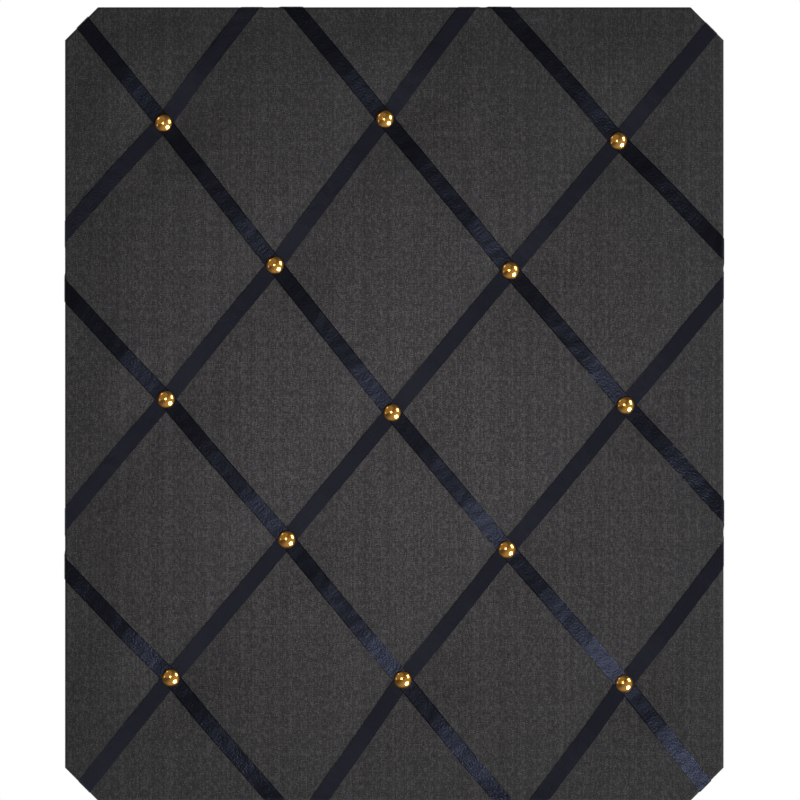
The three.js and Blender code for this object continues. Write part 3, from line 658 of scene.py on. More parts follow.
def turn_profile(name, centre, radius, level, sides):
    """A profile (radius, level) turned round a line along y: x = r cos a, z = r sin a, y = -level."""
    angle = np.linspace(0, 2 * np.pi, sides, endpoint=False)
    x = centre[0] + radius[:, None] * np.cos(angle)
    z = centre[1] + radius[:, None] * np.sin(angle)
    y = np.broadcast_to(-level[:, None], x.shape)
    points = np.stack([x, y, z], axis=-1).reshape(-1, 3)
    return make_piece(name, points, grid_quads(len(radius), sides, around=True)[:, ::-1])


def close_poles(piece):
    """Merges points that lie on each other, so that quads at a pole become triangles."""
    shape = bmesh.new()
    shape.from_mesh(piece.data)
    bmesh.ops.remove_doubles(shape, verts=shape.verts, dist=WELD)
    bmesh.ops.dissolve_degenerate(shape, edges=shape.edges, dist=WELD)
    shape.to_mesh(piece.data)
    shape.free()
    return piece


print("points nearer than", WELD / MM, "mm are merged")

# %% Make the studs
STUD_RADIUS = 6.7 * MM
STUD_HEIGHT = 3.4 * MM
STUD_WALL = 0.8 * MM
STUD_SIDES = 56
SHANK_RADIUS = 1 * MM
SHANK_POINT = 3 * MM
DOME_POINTS = 18
LIP_POINTS = 6
LIP_DROP = STUD_WALL / 4
HOLLOW_FROM = 2


def dome_arc(radius, height, rim, points):
    """Arc of a sphere cap from its top to its rim: sphere radius is (r^2 + h^2) / 2h."""
    ball = (radius**2 + height**2) / (2 * height)
    angle = np.linspace(0, np.arcsin(radius / ball), points)
    return ball * np.sin(angle), rim + height - ball * (1 - np.cos(angle))


def make_stud(name):
    """A turned profile: from the dome's top over the lip, up the hollow and down the shank to its point."""
    low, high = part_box(name)
    rim = -low.y - STUD_HEIGHT
    outer = dome_arc(STUD_RADIUS, STUD_HEIGHT, rim, DOME_POINTS)
    turn = np.linspace(0, np.pi, LIP_POINTS)[1:-1]
    lip = (STUD_RADIUS - STUD_WALL / 2 * (1 - np.cos(turn)), rim - LIP_DROP * np.sin(turn))
    inner = dome_arc(STUD_RADIUS - STUD_WALL, STUD_HEIGHT - STUD_WALL, rim, DOME_POINTS)
    hollow = (inner[0][:HOLLOW_FROM:-1], inner[1][:HOLLOW_FROM:-1])
    roof = inner[1][0]
    shank = (np.array([SHANK_RADIUS, SHANK_RADIUS, 0]), np.array([roof, SHANK_POINT - high.y, -high.y]))
    radius, level = (np.concatenate(parts) for parts in zip(outer, lip, hollow, shank))
    turned = turn_profile(name.replace("stud", "dome_stud"), studs[name], radius, level, STUD_SIDES)
    return close_poles(turned)


dome_studs = {name: make_stud(name) for name in studs}
print("points in a stud:", len(dome_studs["stud_a1"].data.vertices))

# %% [markdown]
# ## The hangers
# Each hanger is a steel strap rolled into an eye, a wire D-ring that swings in it and a round-head
# screw. The strap is a thin section carried along a path, up its tongue and round the eye, narrowing at
# the rounded end. The ring is a circle carried round a closed path. Both are placed by the joint that
# the CAD record gives for the ring.

# %% Make the straps
STRAP_HALF = 5 * MM
STRAP_LENGTH = 32 * MM
STRAP_THICKNESS = 1 * MM
STRAP_FACE = 0.3 * MM
STRAP_EDGE = 0.3 * MM
STRAP_EDGE_STEPS = 4
EYE_SWEEP = np.radians(325)
EYE_STEPS = 40
TONGUE_STEPS = 9
hinges = {joint["child"].split("_")[0]: joint["pos_m"] for joint in frame["record"]["behaviour"]["joints"]}


def rounded_section(half_width, half_height, corner, steps):
    """A rectangle with rounded corners as a closed loop: one quarter circle, mirrored three times."""
    turn = np.linspace(0, np.pi / 2, steps)
    across = half_width - corner + corner * np.cos(turn)
    up = half_height - corner + corner * np.sin(turn)
    quarter = np.stack([across, up])
    flips = (((1, 1), 1), ((-1, 1), -1), ((-1, -1), 1), ((1, -1), -1))
    return np.concatenate([quarter[:, ::order].T * signs for signs, order in flips])


def make_strap(side, hinge):
    """A section carried up the tongue and round the eye in (y, z); a half circle rounds the tongue's end."""
    eye = hinge[1] - STRAP_FACE - STRAP_THICKNESS / 2
    end = STRAP_HALF * (1 - np.cos(np.linspace(0, np.pi / 2, TONGUE_STEPS)))
    round_end = np.sqrt(STRAP_HALF**2 - (STRAP_HALF - end) ** 2)
    half = np.concatenate([round_end, np.full(EYE_STEPS + 1, STRAP_HALF)])
    turn = np.pi - np.linspace(0, EYE_SWEEP, EYE_STEPS)
    y = np.concatenate([np.full(TONGUE_STEPS, hinge[1] - eye), hinge[1] + eye * np.cos(turn)])
    z = hinge[2] + np.concatenate([end - STRAP_LENGTH, eye * np.sin(turn)])
    out_y = np.concatenate([np.full(TONGUE_STEPS, -1.0), np.cos(turn)])
    out_z = np.concatenate([np.zeros(TONGUE_STEPS), np.sin(turn)])
    y, z, out_y, out_z = (np.append(row, row[-1]) for row in (y, z, out_y, out_z))
    section = rounded_section(STRAP_HALF, STRAP_THICKNESS / 2, STRAP_EDGE, STRAP_EDGE_STEPS)
    x = hinge[0] + section[:, 0] * (half / STRAP_HALF)[:, None]
    thick = np.broadcast_to(section[:, 1], x.shape).copy()
    thick[-1] = 0
    points = np.stack([x, y[:, None] + out_y[:, None] * thick, z[:, None] + out_z[:, None] * thick], axis=-1)
    quads = grid_quads(*x.shape, around=True)[:, ::-1]
    return close_poles(make_piece(f"strap_{side}", points.reshape(-1, 3), quads))


straps = {side: make_strap(side, hinge) for side, hinge in hinges.items()}
print("hinges in mm:", {side: [round(v / MM, 1) for v in place] for side, place in hinges.items()})

# %% Make the rings
RING_HALF = 8 * MM
RING_LENGTH = 15 * MM
RING_CORNER = 2.5 * MM
CORNER_STEPS = 9
BOW_STEPS = 33
WIRE_RADIUS = 1 * MM
WIRE_SIDES = 20


def arc(centre, radius, start, end, steps):
    """Points of a circular arc, (steps, 2)."""
    angle = np.linspace(start, end, steps)
    return np.array(centre) + radius * np.stack([np.cos(angle), np.sin(angle)], axis=-1)


def make_ring(side, hinge):
    """A circle carried round the D: two rounded corners of the bar above, a half circle below."""
    path = np.concatenate([
        arc((RING_HALF - RING_CORNER, -RING_CORNER), RING_CORNER, 0, np.pi / 2, CORNER_STEPS),
        arc((RING_CORNER - RING_HALF, -RING_CORNER), RING_CORNER, np.pi / 2, np.pi, CORNER_STEPS),
        arc((0, RING_HALF - RING_LENGTH), RING_HALF, np.pi, 2 * np.pi, BOW_STEPS),
    ])
    ahead = np.roll(path, -1, axis=0) - np.roll(path, 1, axis=0)
    out = square_to(ahead / np.linalg.norm(ahead, axis=1, keepdims=True))
    turn = np.linspace(0, 2 * np.pi, WIRE_SIDES, endpoint=False)
    middle = np.array([hinge[0], hinge[2]]) + path[:, None]
    flat = middle + WIRE_RADIUS * np.cos(turn)[:, None] * out[:, None]
    y = np.broadcast_to(hinge[1] + WIRE_RADIUS * np.sin(turn), flat.shape[:2])
    points = np.stack([flat[..., 0], y, flat[..., 1]], axis=-1).reshape(-1, 3)
    loops = np.arange(len(points)).reshape(len(path), WIRE_SIDES)
    return make_piece(f"ring_{side}", points, loop_quads(np.concatenate([loops, loops[:1]]))[:, ::-1])


rings = {side: make_ring(side, hinge) for side, hinge in hinges.items()}
print("points in a ring:", len(rings["left"].data.vertices))

# %% [markdown]
# ## The screws
# A round head with a slot is a dome seen as a height over rows of constant z: rows at the slot's two
# walls make the cut crisp, and inside them the height is the slot's floor. The shank below is a turned
# profile whose radius also grows and shrinks with the angle, so one ridge climbs round it as a thread.

# %% Make the screws
HEAD_RADIUS = 3.4 * MM
HEAD_HEIGHT = 2.2 * MM
SLOT_HALF = 0.45 * MM
SLOT_FLOOR = 1.2 * MM
SLOT_LAND = 0.8 * MM
HEAD_ROWS = 12
HEAD_COLUMNS = 25
HEAD_SEAT = 1.6 * MM
SCREW_DROP = 25 * MM
SHANK_LENGTH = 10 * MM
SCREW_POINT = 3 * MM
THREAD_RADIUS = 1.5 * MM
THREAD_DEPTH = 0.4 * MM
THREAD_PITCH = 1.1 * MM
SHANK_ROWS = 81
SHANK_SIDES = 24
HAIR = 0.01 * MM


def make_screw(side, hinge):
    """A slotted dome as height over (x, z), its flat seat, and a shank as radius over depth and angle."""
    walls = [SLOT_HALF - HAIR, SLOT_HALF + HAIR]
    upper = np.concatenate([walls, np.linspace(SLOT_LAND, HEAD_RADIUS, HEAD_ROWS)])
    z = np.concatenate([-upper[::-1], [0], upper])[:, None]
    across = np.sin(np.linspace(-np.pi / 2, np.pi / 2, HEAD_COLUMNS))
    x = across * np.sqrt(np.maximum(HEAD_RADIUS**2 - z**2, 0))
    ball = (HEAD_RADIUS**2 + HEAD_HEIGHT**2) / (2 * HEAD_HEIGHT)
    height = np.sqrt(np.maximum(ball**2 - x**2 - z**2, 0)) - (ball - HEAD_HEIGHT)
    height = np.where(np.abs(z) < SLOT_HALF, np.minimum(height, SLOT_FLOOR), height)
    z = np.broadcast_to(z, x.shape)
    head = np.stack([x, height, z], axis=-1)
    seat = np.stack([x, np.zeros(x.shape), z], axis=-1)
    depth = np.linspace(0, SHANK_LENGTH, SHANK_ROWS)[:, None]
    turn = np.linspace(0, 2 * np.pi, SHANK_SIDES, endpoint=False)
    ridge = np.abs((depth / THREAD_PITCH + turn / (2 * np.pi)) % 1 - 0.5) * 2
    taper = np.clip((SHANK_LENGTH - depth) / SCREW_POINT, 0, 1)
    radius = (THREAD_RADIUS - THREAD_DEPTH * ridge) * taper
    radius[0] = 0
    down = np.broadcast_to(-depth, radius.shape)
    shank = np.stack([radius * np.cos(turn), down, radius * np.sin(turn)], axis=-1)
    points = np.concatenate([part.reshape(-1, 3) for part in (head, seat, shank)])
    top = grid_quads(*x.shape)
    thread = grid_quads(*radius.shape, around=True)
    quads = np.concatenate([top[:, ::-1], top + x.size, thread + 2 * x.size])
    place = (hinge[0], HEAD_SEAT, hinge[2] - SCREW_DROP)
    return close_poles(make_piece(f"screw_{side}", points + place, quads))


screws = {side: make_screw(side, hinge) for side, hinge in hinges.items()}
print("points in a screw:", len(screws["left"].data.vertices))

# %% [markdown]
# ## The staples
# On the back, wire staples hold the turned-in linen and the ribbon tails. They are too small for CAD
# and too many for separate pieces, so all are one array: a bent path times a flat wire section times
# the list of places. Each staple sits on what it holds, its legs sunk through it, turned a little at
# random from a seed.

# %% Find the staples' places
STAPLE_STEP = 42 * MM
STAPLE_INSET = 27 * MM
STAPLE_CLEAR = 15 * MM
STAPLE_STRAY = 1.5 * MM
STAPLE_TURN = 0.12
STAPLE_SEED = 4


def staple_places():
    """Middles (n, 3) and directions (n, 2) of the staples: across every tail, and along every long edge."""
    draw = np.random.default_rng(STAPLE_SEED)
    tail_rows = np.array(tails)
    tail_middle = tail_rows.mean(axis=1) + (0, RIBBON_THICKNESS, 0)
    tail_way = (tail_rows[:, -1] - tail_rows[:, 0])[:, (0, 2)]
    line = corners_at(STAPLE_INSET)
    runs = np.roll(line, -1, axis=0) - line
    middles, ways = [tail_middle], [tail_way / np.linalg.norm(tail_way, axis=1, keepdims=True)]
    for start, run, along in zip(line[1::2], runs[1::2], edge_along[1::2]):
        count = int(np.linalg.norm(run) / STAPLE_STEP)
        share = (np.arange(count) + 0.5) / count
        at = start + run * share[:, None] + draw.normal(0, STAPLE_STRAY, (count, 2))
        way = along + draw.normal(0, STAPLE_TURN, (count, 2))
        free = np.linalg.norm(at[:, None] - tail_middle[:, (0, 2)], axis=-1).min(axis=1) > STAPLE_CLEAR
        middles.append(np.insert(at, 1, BACK_FACE, axis=1)[free])
        ways.append((way / np.linalg.norm(way, axis=1, keepdims=True))[free])
    return np.concatenate(middles), np.concatenate(ways)


staple_middles, staple_ways = staple_places()
print("staples:", len(staple_middles))

# %% Make the staples
STAPLE_HALF = 5 * MM
STAPLE_LEG = 3 * MM
STAPLE_SECTION = np.array([[0.3, 0.25], [0, 0.5], [-0.3, 0.25], [-0.3, -0.25], [0, -0.5], [0.3, -0.25]]) * MM
STAPLE_RISE = 0.35 * MM
STAPLE_BEND = 0.5 * MM
SHOULDER = (0.3, 0.7)


def make_staples(middle, way):
    """A section carried along one bent wire (along, up), then turned and moved to every place at once."""
    half = np.array([
        [-STAPLE_HALF, -STAPLE_LEG],
        [-STAPLE_HALF, 0],
        [-STAPLE_HALF + SHOULDER[0] * STAPLE_BEND, SHOULDER[1] * STAPLE_RISE],
        [-STAPLE_HALF + STAPLE_BEND, STAPLE_RISE],
    ])
    path = np.concatenate([half, half[::-1] * (-1, 1)])
    ahead = np.gradient(path, axis=0)
    ahead /= np.linalg.norm(ahead, axis=1, keepdims=True)
    lift = np.stack([-ahead[:, 1], ahead[:, 0]], axis=-1)
    path, lift = (np.concatenate([rows[:1], rows, rows[-1:]]) for rows in (path, lift))
    section = np.broadcast_to(STAPLE_SECTION, (len(path), *STAPLE_SECTION.shape)).copy()
    section[[0, -1]] = 0
    along = path[:, None, 0] + lift[:, None, 0] * section[..., 0]
    up = path[:, None, 1] + lift[:, None, 1] * section[..., 0]
    aside = section[..., 1]
    side = square_to(way)
    flat = along[..., None] * way[:, None, None] + aside[..., None] * side[:, None, None]
    points = np.insert(flat, 1, np.broadcast_to(up, flat.shape[:3]), axis=-1) + middle[:, None, None]
    one = grid_quads(*along.shape, around=True)[:, ::-1]
    quads = one + (np.arange(len(middle)) * along.size)[:, None, None]
    return close_poles(make_piece("back_staples", points.reshape(-1, 3), quads.reshape(-1, 4)))


back_staples = make_staples(staple_middles, staple_ways)
print("staple faces:", len(back_staples.data.polygons))

# %% [markdown]
# ## Finishes
# Every finish is a small tree of shader nodes. Two helpers keep the trees readable: one adds a node
# with its settings and inputs, the other adds one step of arithmetic and gives back its result. A
# constant is set on the shader's own socket, and only what varies over the surface is linked.

# %% Helpers for nodes


def start_finish(name, sockets):
    """A new material with a Principled shader whose constant sockets are set: (material, tree, shader)."""
    finish = bpy.data.materials.new(name)
    finish.use_nodes = True
    tree = finish.node_tree
    shader = tree.nodes["Principled BSDF"]
    for socket, value in sockets.items():
        shader.inputs[socket].default_value = value
    return finish, tree, shader


def add_node(tree, kind, inputs=None, **settings):
    """A shader node; an input that is a socket is linked, any other is set."""
    made = tree.nodes.new("ShaderNode" + kind)
    for key, value in settings.items():
        setattr(made, key, value)
    for key, value in (inputs or {}).items():
        if isinstance(value, bpy.types.NodeSocket):
            tree.links.new(value, made.inputs[key])
        else:
            made.inputs[key].default_value = value
    return made


def maths(tree, operation, *values):
    """The result of one step of arithmetic on sockets or numbers."""
    return add_node(tree, "Math", dict(enumerate(values)), operation=operation).outputs[0]


print("finishes so far:", [finish.name for finish in bpy.data.materials if finish.users])

# %% Helpers for patterns


def noise(tree, vector, scale=1.0, detail=2.0, roughness=0.5):
    """Smooth noise from 0 to 1 at a vector."""
    inputs = {"Vector": vector, "Scale": scale, "Detail": detail, "Roughness": roughness}
    return add_node(tree, "TexNoise", inputs).outputs["Fac"]


def ramp(tree, value, *stops):
    """Colours at places from 0 to 1, blended in between."""
    made = add_node(tree, "ValToRGB", {"Fac": value})
    points = made.color_ramp.elements
    between = [points.new(place) for place, _ in stops[1:-1]]
    for point, (place, colour) in zip((points[0], *between, points[-1]), stops):
        point.position = place
        point.color = (*colour, 1)
    return made.outputs["Color"]


def stretched(tree, vector, scale):
    """A vector multiplied axis by axis, to draw a pattern out."""
    made = add_node(tree, "VectorMath", {0: vector, 1: scale}, operation="MULTIPLY")
    return made.outputs["Vector"]


def bump(tree, shader, height, distance, strength=1.0):
    """Feeds a height into the shader's normal as bump of that depth in metres."""
    made = add_node(tree, "Bump", {"Height": height, "Distance": distance, "Strength": strength})
    tree.links.new(made.outputs["Normal"], shader.inputs["Normal"])


print("pattern helpers:", [helper.__name__ for helper in (noise, ramp, stretched, bump)])

# %% [markdown]
# ## Charcoal linen
# Linen is a plain weave of uneven threads, so no two threads have quite the same tone, and thick
# stretches, slubs, show as short streaks. The product of two sine waves over the unrolled cloth is
# positive where a warp thread is on top and negative where a weft thread is, which gives the weave and
# its relief. Each thread then draws its own tone by its number, and noise drawn out along the thread
# gives the slubs, stronger on the upright warp. The relief also scales the colour, so the grooves
# between threads get painted shade.

# %% Give each thread its tone
THREAD_APART = 7.3
OWN_SHARE = 0.4
SLUB_ROUGHNESS = 0.6
SLUB_STEEPNESS = (4.2, -1.75)
SLUB_SHARE = 0.88


def thread_tone(tree, number, along, seed):
    """A tone for each numbered thread: a share of its own random tone plus a share of the slubs along it."""
    own = add_node(tree, "TexWhiteNoise", {"W": maths(tree, "ADD", number, seed)}, noise_dimensions="1D")
    apart = maths(tree, "MULTIPLY", number, THREAD_APART)
    line = add_node(tree, "CombineXYZ", {"X": apart, "Y": along, "Z": seed})
    slub = noise(tree, line.outputs[0], roughness=SLUB_ROUGHNESS)
    steep = maths(tree, "MULTIPLY_ADD", slub, *SLUB_STEEPNESS)
    slubs = maths(tree, "MULTIPLY", steep, SLUB_SHARE)
    return maths(tree, "MULTIPLY_ADD", own.outputs["Value"], OWN_SHARE, slubs)


print("shares of a thread's own tone and of its slubs:", OWN_SHARE, SLUB_SHARE)

# %% Make the linen finish
THREAD = 0.85 * MM
SLUB_LENGTH = 3.6 * MM
WARP_SEED = 3.0
WEFT_SEED = 71.0
WEFT_TONE = (0.4, 0.24)
WAVER_SCALE = 60.0
WAVER_THREADS = 1.2
# Scale and offset of the painted shade in the grooves between threads.
GROOVE_PAINTED_SHADE = (0.35, 0.72)
TONE_IN_RELIEF = 0.5
LINEN_BUMP = (0.2 * MM, 0.7)
LINEN_SOCKETS = {
    "Roughness": 0.92, "Specular IOR Level": 0.25, "Sheen Weight": 0.12, "Sheen Roughness": 0.45,
}
LINEN_TONES = (
    (0.0, (0.0155, 0.0144, 0.0149)), (0.42, (0.04, 0.0375, 0.0384)), (1.0, (0.112, 0.105, 0.106)),
)


def make_linen():
    """The weave is sin(pi warp) * sin(pi weft): its sign picks the thread on top, its size is the relief."""
    finish, tree, shader = start_finish("charcoal_linen", LINEN_SOCKETS)
    place = add_node(tree, "TexCoord").outputs["UV"]
    sway = add_node(tree, "SeparateXYZ", {0: place})
    waver = maths(tree, "MULTIPLY", noise(tree, place, WAVER_SCALE), WAVER_THREADS)
    warp = maths(tree, "ADD", maths(tree, "DIVIDE", sway.outputs["X"], THREAD), waver)
    weft = maths(tree, "ADD", maths(tree, "DIVIDE", sway.outputs["Y"], THREAD), waver)
    waves = [maths(tree, "SINE", maths(tree, "MULTIPLY", thread, np.pi)) for thread in (warp, weft)]
    wave = maths(tree, "MULTIPLY", *waves)
    warp_on_top = maths(tree, "GREATER_THAN", wave, 0.0)
    along_warp = maths(tree, "DIVIDE", sway.outputs["Y"], SLUB_LENGTH)
    along_weft = maths(tree, "DIVIDE", sway.outputs["X"], SLUB_LENGTH)
    warp_tone = thread_tone(tree, maths(tree, "FLOOR", warp), along_warp, WARP_SEED)
    weft_tone = thread_tone(tree, maths(tree, "FLOOR", weft), along_weft, WEFT_SEED)
    weft_tone = maths(tree, "MULTIPLY_ADD", weft_tone, *WEFT_TONE)
    tone = add_node(tree, "Mix", {0: warp_on_top, 2: weft_tone, 3: warp_tone}).outputs[0]
    relief = maths(tree, "SQRT", maths(tree, "ABSOLUTE", wave))
    # Painted shade: the tone is darkened where the relief is low, in the grooves between the threads.
    tone_with_painted_shade = maths(tree, "MULTIPLY", tone, maths(tree, "MULTIPLY_ADD", relief, *GROOVE_PAINTED_SHADE))
    tree.links.new(ramp(tree, tone_with_painted_shade, *LINEN_TONES), shader.inputs["Base Color"])
    bump(tree, shader, maths(tree, "MULTIPLY_ADD", tone, TONE_IN_RELIEF, relief), *LINEN_BUMP)
    return finish


linen_finish = make_linen()
print("linen nodes:", len(linen_finish.node_tree.nodes))

# %% [markdown]
# ## Black satin
# Satin floats its threads on top, so it spreads light far along the strip and little across it: that is
# anisotropy, with the tangent taken from the UV map and turned a quarter. The cloth itself is near
# black and what shows is its bluish sheen, broken up by soft creases and a fine crinkle. The selvedges
# are tightly woven and smoother, so they mirror only the dim room and show as thin dark lines, set by
# the distance from the middle line.

# %% Make the satin finish
SELVEDGE = 5.3 * MM
SATIN_SOCKETS = {
    "Specular IOR Level": 0.36, "Specular Tint": (0.62, 0.665, 0.965, 1), "Anisotropic": 0.69,
    "Anisotropic Rotation": 0.25,
}
SATIN_TONES = ((0.3, (0.0015, 0.0014, 0.0017)), (0.75, (0.0045, 0.0044, 0.0055)))
CLOUDS = (700, 600, 1)
CREASES = (90, 150, 1)
GRAIN = (5200, 700, 1)
SATIN_DULL = 0.32
CLOUDS_DULL = 0.1
SELVEDGE_DULL = -0.2
CREASE_SHARE = 1.2
GRAIN_SHARE = 0.08
SATIN_BUMP = 0.45 * MM


def make_satin():
    """Clouds tint and dull the satin, and creases, clouds and grain add up to its bump."""
    finish, tree, shader = start_finish("black_satin", SATIN_SOCKETS)
    tangent = add_node(tree, "Tangent", direction_type="UV_MAP", uv_map="unrolled")
    tree.links.new(tangent.outputs["Tangent"], shader.inputs["Tangent"])
    place = add_node(tree, "TexCoord").outputs["UV"]
    parts = add_node(tree, "SeparateXYZ", {0: place})
    aside = maths(tree, "ABSOLUTE", parts.outputs["X"])
    selvedge = maths(tree, "GREATER_THAN", aside, SELVEDGE)
    cloudy = noise(tree, stretched(tree, place, CLOUDS))
    creases = noise(tree, stretched(tree, place, CREASES), detail=0.0)
    grain = noise(tree, stretched(tree, place, GRAIN))
    tree.links.new(ramp(tree, cloudy, *SATIN_TONES), shader.inputs["Base Color"])
    plain = maths(tree, "MULTIPLY_ADD", selvedge, SELVEDGE_DULL, SATIN_DULL)
    tree.links.new(maths(tree, "MULTIPLY_ADD", cloudy, CLOUDS_DULL, plain), shader.inputs["Roughness"])
    fine = maths(tree, "MULTIPLY_ADD", grain, GRAIN_SHARE, cloudy)
    bump(tree, shader, maths(tree, "MULTIPLY_ADD", creases, CREASE_SHARE, fine), SATIN_BUMP)
    return finish


satin_finish = make_satin()
print("satin nodes:", len(satin_finish.node_tree.nodes))

# %% [markdown]
# ## Metals
# The studs are polished and plated in a gold colour: a metal whose colour comes from what it mirrors,
# with faint dents and scuffs so that no two highlights are alike. The hangers and staples are
# zinc-plated steel, duller and with the spangle of crystals that zinc has. Both read Object
# coordinates, which follow the pieces.

# %% Make the gold finish
GOLD_SOCKETS = {"Metallic": 1.0, "Coat Weight": 1.0, "Coat Roughness": 0.06}
GOLD_TONES = ((0.3, (1.0, 0.43, 0.055)), (0.7, (1.0, 0.5, 0.085)))
PATCHES = {"scale": 420.0, "detail": 3.0}
SCUFFS = {"scale": 2600.0, "detail": 4.0}
SCUFF_DULL = (0.12, 0.07)
DENTS = {"scale": 330.0, "detail": 1.0}
DENT_BUMP = (0.35 * MM, 0.22)


def make_gold():
    """Patches shift the gold's tone, scuffs dull it, and wide shallow dents bend what it mirrors."""
    finish, tree, shader = start_finish("polished_gold", GOLD_SOCKETS)
    place = add_node(tree, "TexCoord").outputs["Object"]
    tree.links.new(ramp(tree, noise(tree, place, **PATCHES), *GOLD_TONES), shader.inputs["Base Color"])
    dull = maths(tree, "MULTIPLY_ADD", noise(tree, place, **SCUFFS), *SCUFF_DULL)
    tree.links.new(dull, shader.inputs["Roughness"])
    bump(tree, shader, noise(tree, place, **DENTS), *DENT_BUMP)
    return finish


gold_finish = make_gold()
print("gold nodes:", len(gold_finish.node_tree.nodes))

# %% Make the steel finish
STEEL_SOCKETS = {"Metallic": 1.0}
ZINC_TONES = ((0.0, (0.4, 0.41, 0.43)), (1.0, (0.58, 0.59, 0.6)))
SPANGLE_SCALE = 700.0
SPANGLE_DULL = (0.14, 0.3)
STEEL_GRAIN = 1800.0
STEEL_BUMP = (0.04 * MM, 0.4)


def make_steel():
    """Each crystal, a cell of a Voronoi pattern, has its own tone and dullness under a fine grain."""
    finish, tree, shader = start_finish("zinc_plated_steel", STEEL_SOCKETS)
    place = add_node(tree, "TexCoord").outputs["Object"]
    spangle = add_node(tree, "TexVoronoi", {"Vector": place, "Scale": SPANGLE_SCALE}).outputs["Color"]
    tone = add_node(tree, "SeparateColor", {"Color": spangle}).outputs["Red"]
    tree.links.new(ramp(tree, tone, *ZINC_TONES), shader.inputs["Base Color"])
    tree.links.new(maths(tree, "MULTIPLY_ADD", tone, *SPANGLE_DULL), shader.inputs["Roughness"])
    bump(tree, shader, noise(tree, place, STEEL_GRAIN), *STEEL_BUMP)
    return finish


steel_finish = make_steel()
print("steel nodes:", len(steel_finish.node_tree.nodes))

# %% [markdown]
# ## Fibreboard and wadding
# Softboard is pressed from felted wood fibres: a matt brown with pale and dark fibres lying every way,
# so noise is drawn out along two directions and mixed. The wadding is a matt white tangle of fine
# fibres.

# %% Make the fibreboard finish
BOARD_SOCKETS = {"Roughness": 0.95, "Specular IOR Level": 0.2}
BOARD_TONES = ((0.2, (0.2, 0.118, 0.06)), (0.5, (0.32, 0.2, 0.105)), (0.85, (0.47, 0.33, 0.19)))
SWIRL_SCALE = 90.0
SWIRL_REACH = 4 * MM
LYING_FIBRES = (260, 260, 1500)
STANDING_FIBRES = (1500, 260, 260)
FIBRE_DETAIL = 3.0
FIBRE_TONE = (1.6, -0.48)
STAINS = {"scale": 14.0, "detail": 3.0}
STAIN_SHARE = 0.35
BOARD_BUMP = (0.5 * MM, 0.7)


def make_fibreboard():
    """The mean of two drawn-out noises, bent by a third, gives the fibres; slow stains shift their tone."""
    finish, tree, shader = start_finish("felted_fibreboard", BOARD_SOCKETS)
    place = add_node(tree, "TexCoord").outputs["Object"]
    bent = maths(tree, "MULTIPLY", noise(tree, place, SWIRL_SCALE), SWIRL_REACH)
    swirl = add_node(tree, "VectorMath", {0: place, 1: bent}, operation="ADD").outputs["Vector"]
    lying = noise(tree, stretched(tree, swirl, LYING_FIBRES), detail=FIBRE_DETAIL)
    standing = noise(tree, stretched(tree, swirl, STANDING_FIBRES), detail=FIBRE_DETAIL)
    fibres = maths(tree, "DIVIDE", maths(tree, "ADD", lying, standing), 2.0)
    fibre_tone = maths(tree, "MULTIPLY_ADD", fibres, *FIBRE_TONE)
    tone = maths(tree, "MULTIPLY_ADD", noise(tree, place, **STAINS), STAIN_SHARE, fibre_tone)
    tree.links.new(ramp(tree, tone, *BOARD_TONES), shader.inputs["Base Color"])
    bump(tree, shader, fibres, *BOARD_BUMP)
    return finish


fibreboard_finish = make_fibreboard()
print("fibreboard nodes:", len(fibreboard_finish.node_tree.nodes))

# %% Make the wadding finish
WADDING_SOCKETS = {"Roughness": 1.0, "Specular IOR Level": 0.1}
WADDING_TONES = ((0.3, (0.74, 0.73, 0.69)), (0.7, (0.86, 0.855, 0.82)))
TANGLE = {"scale": 260.0, "detail": 5.0, "roughness": 0.7}
WADDING_BUMP = (1.5 * MM, 0.8)


def make_wadding_finish():
    """One rough noise gives the tangle's tone and its relief."""
    finish, tree, shader = start_finish("white_wadding", WADDING_SOCKETS)
    tangle = noise(tree, add_node(tree, "TexCoord").outputs["Object"], **TANGLE)
    tree.links.new(ramp(tree, tangle, *WADDING_TONES), shader.inputs["Base Color"])
    bump(tree, shader, tangle, *WADDING_BUMP)
    return finish


wadding_finish = make_wadding_finish()
print("wadding nodes:", len(wadding_finish.node_tree.nodes))

# %% [markdown]
# ## Dressing the frame
# Each piece takes its finish, hides the CAD nodes it stands for and rides on that node's body, so the
# rings can swing with their joints and the rest stays on the board. The core's own node is right as it
# is and only gets its finish.


def dress(piece, finish, slot, body, *nodes):
    """Gives a piece its finish and body and hides the CAD nodes that it replaces; slot is not used."""
    piece.data.materials.append(finish)
    if nodes:
        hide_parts(*nodes)
    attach(piece, body)


dress(wadding_layer, wadding_finish, "wadding", "board", "wadding_pad")
dress(linen_sheet, linen_finish, "linen", "board", "linen_cover")
for name, (strip, length) in strips.items():
    dress(strip, satin_finish, "satin", "board", name)
for name, stud in dome_studs.items():
    dress(stud, gold_finish, "gold", "board", name)
for side in hinges:
    dress(straps[side], steel_finish, "steel", "board", f"hanger_strap_{side}")
    dress(screws[side], steel_finish, "steel", "board", f"hanger_screw_{side}")
    dress(rings[side], steel_finish, "steel", f"{side}_ring", f"d_ring_{side}")
dress(back_staples, steel_finish, "steel", "board")
core = frame["nodes"]["backing_board"]
core.data.materials.clear()
core.data.materials.append(fibreboard_finish)

# %% [markdown]
# ## The camera
# The photograph looks straight at the front. A long lens far away keeps the outline square, and the
# distance follows from the width of the picture at the front of the board. The board sits a little left
# of the middle and a little low in the picture, so the camera stands that much to the right and up.

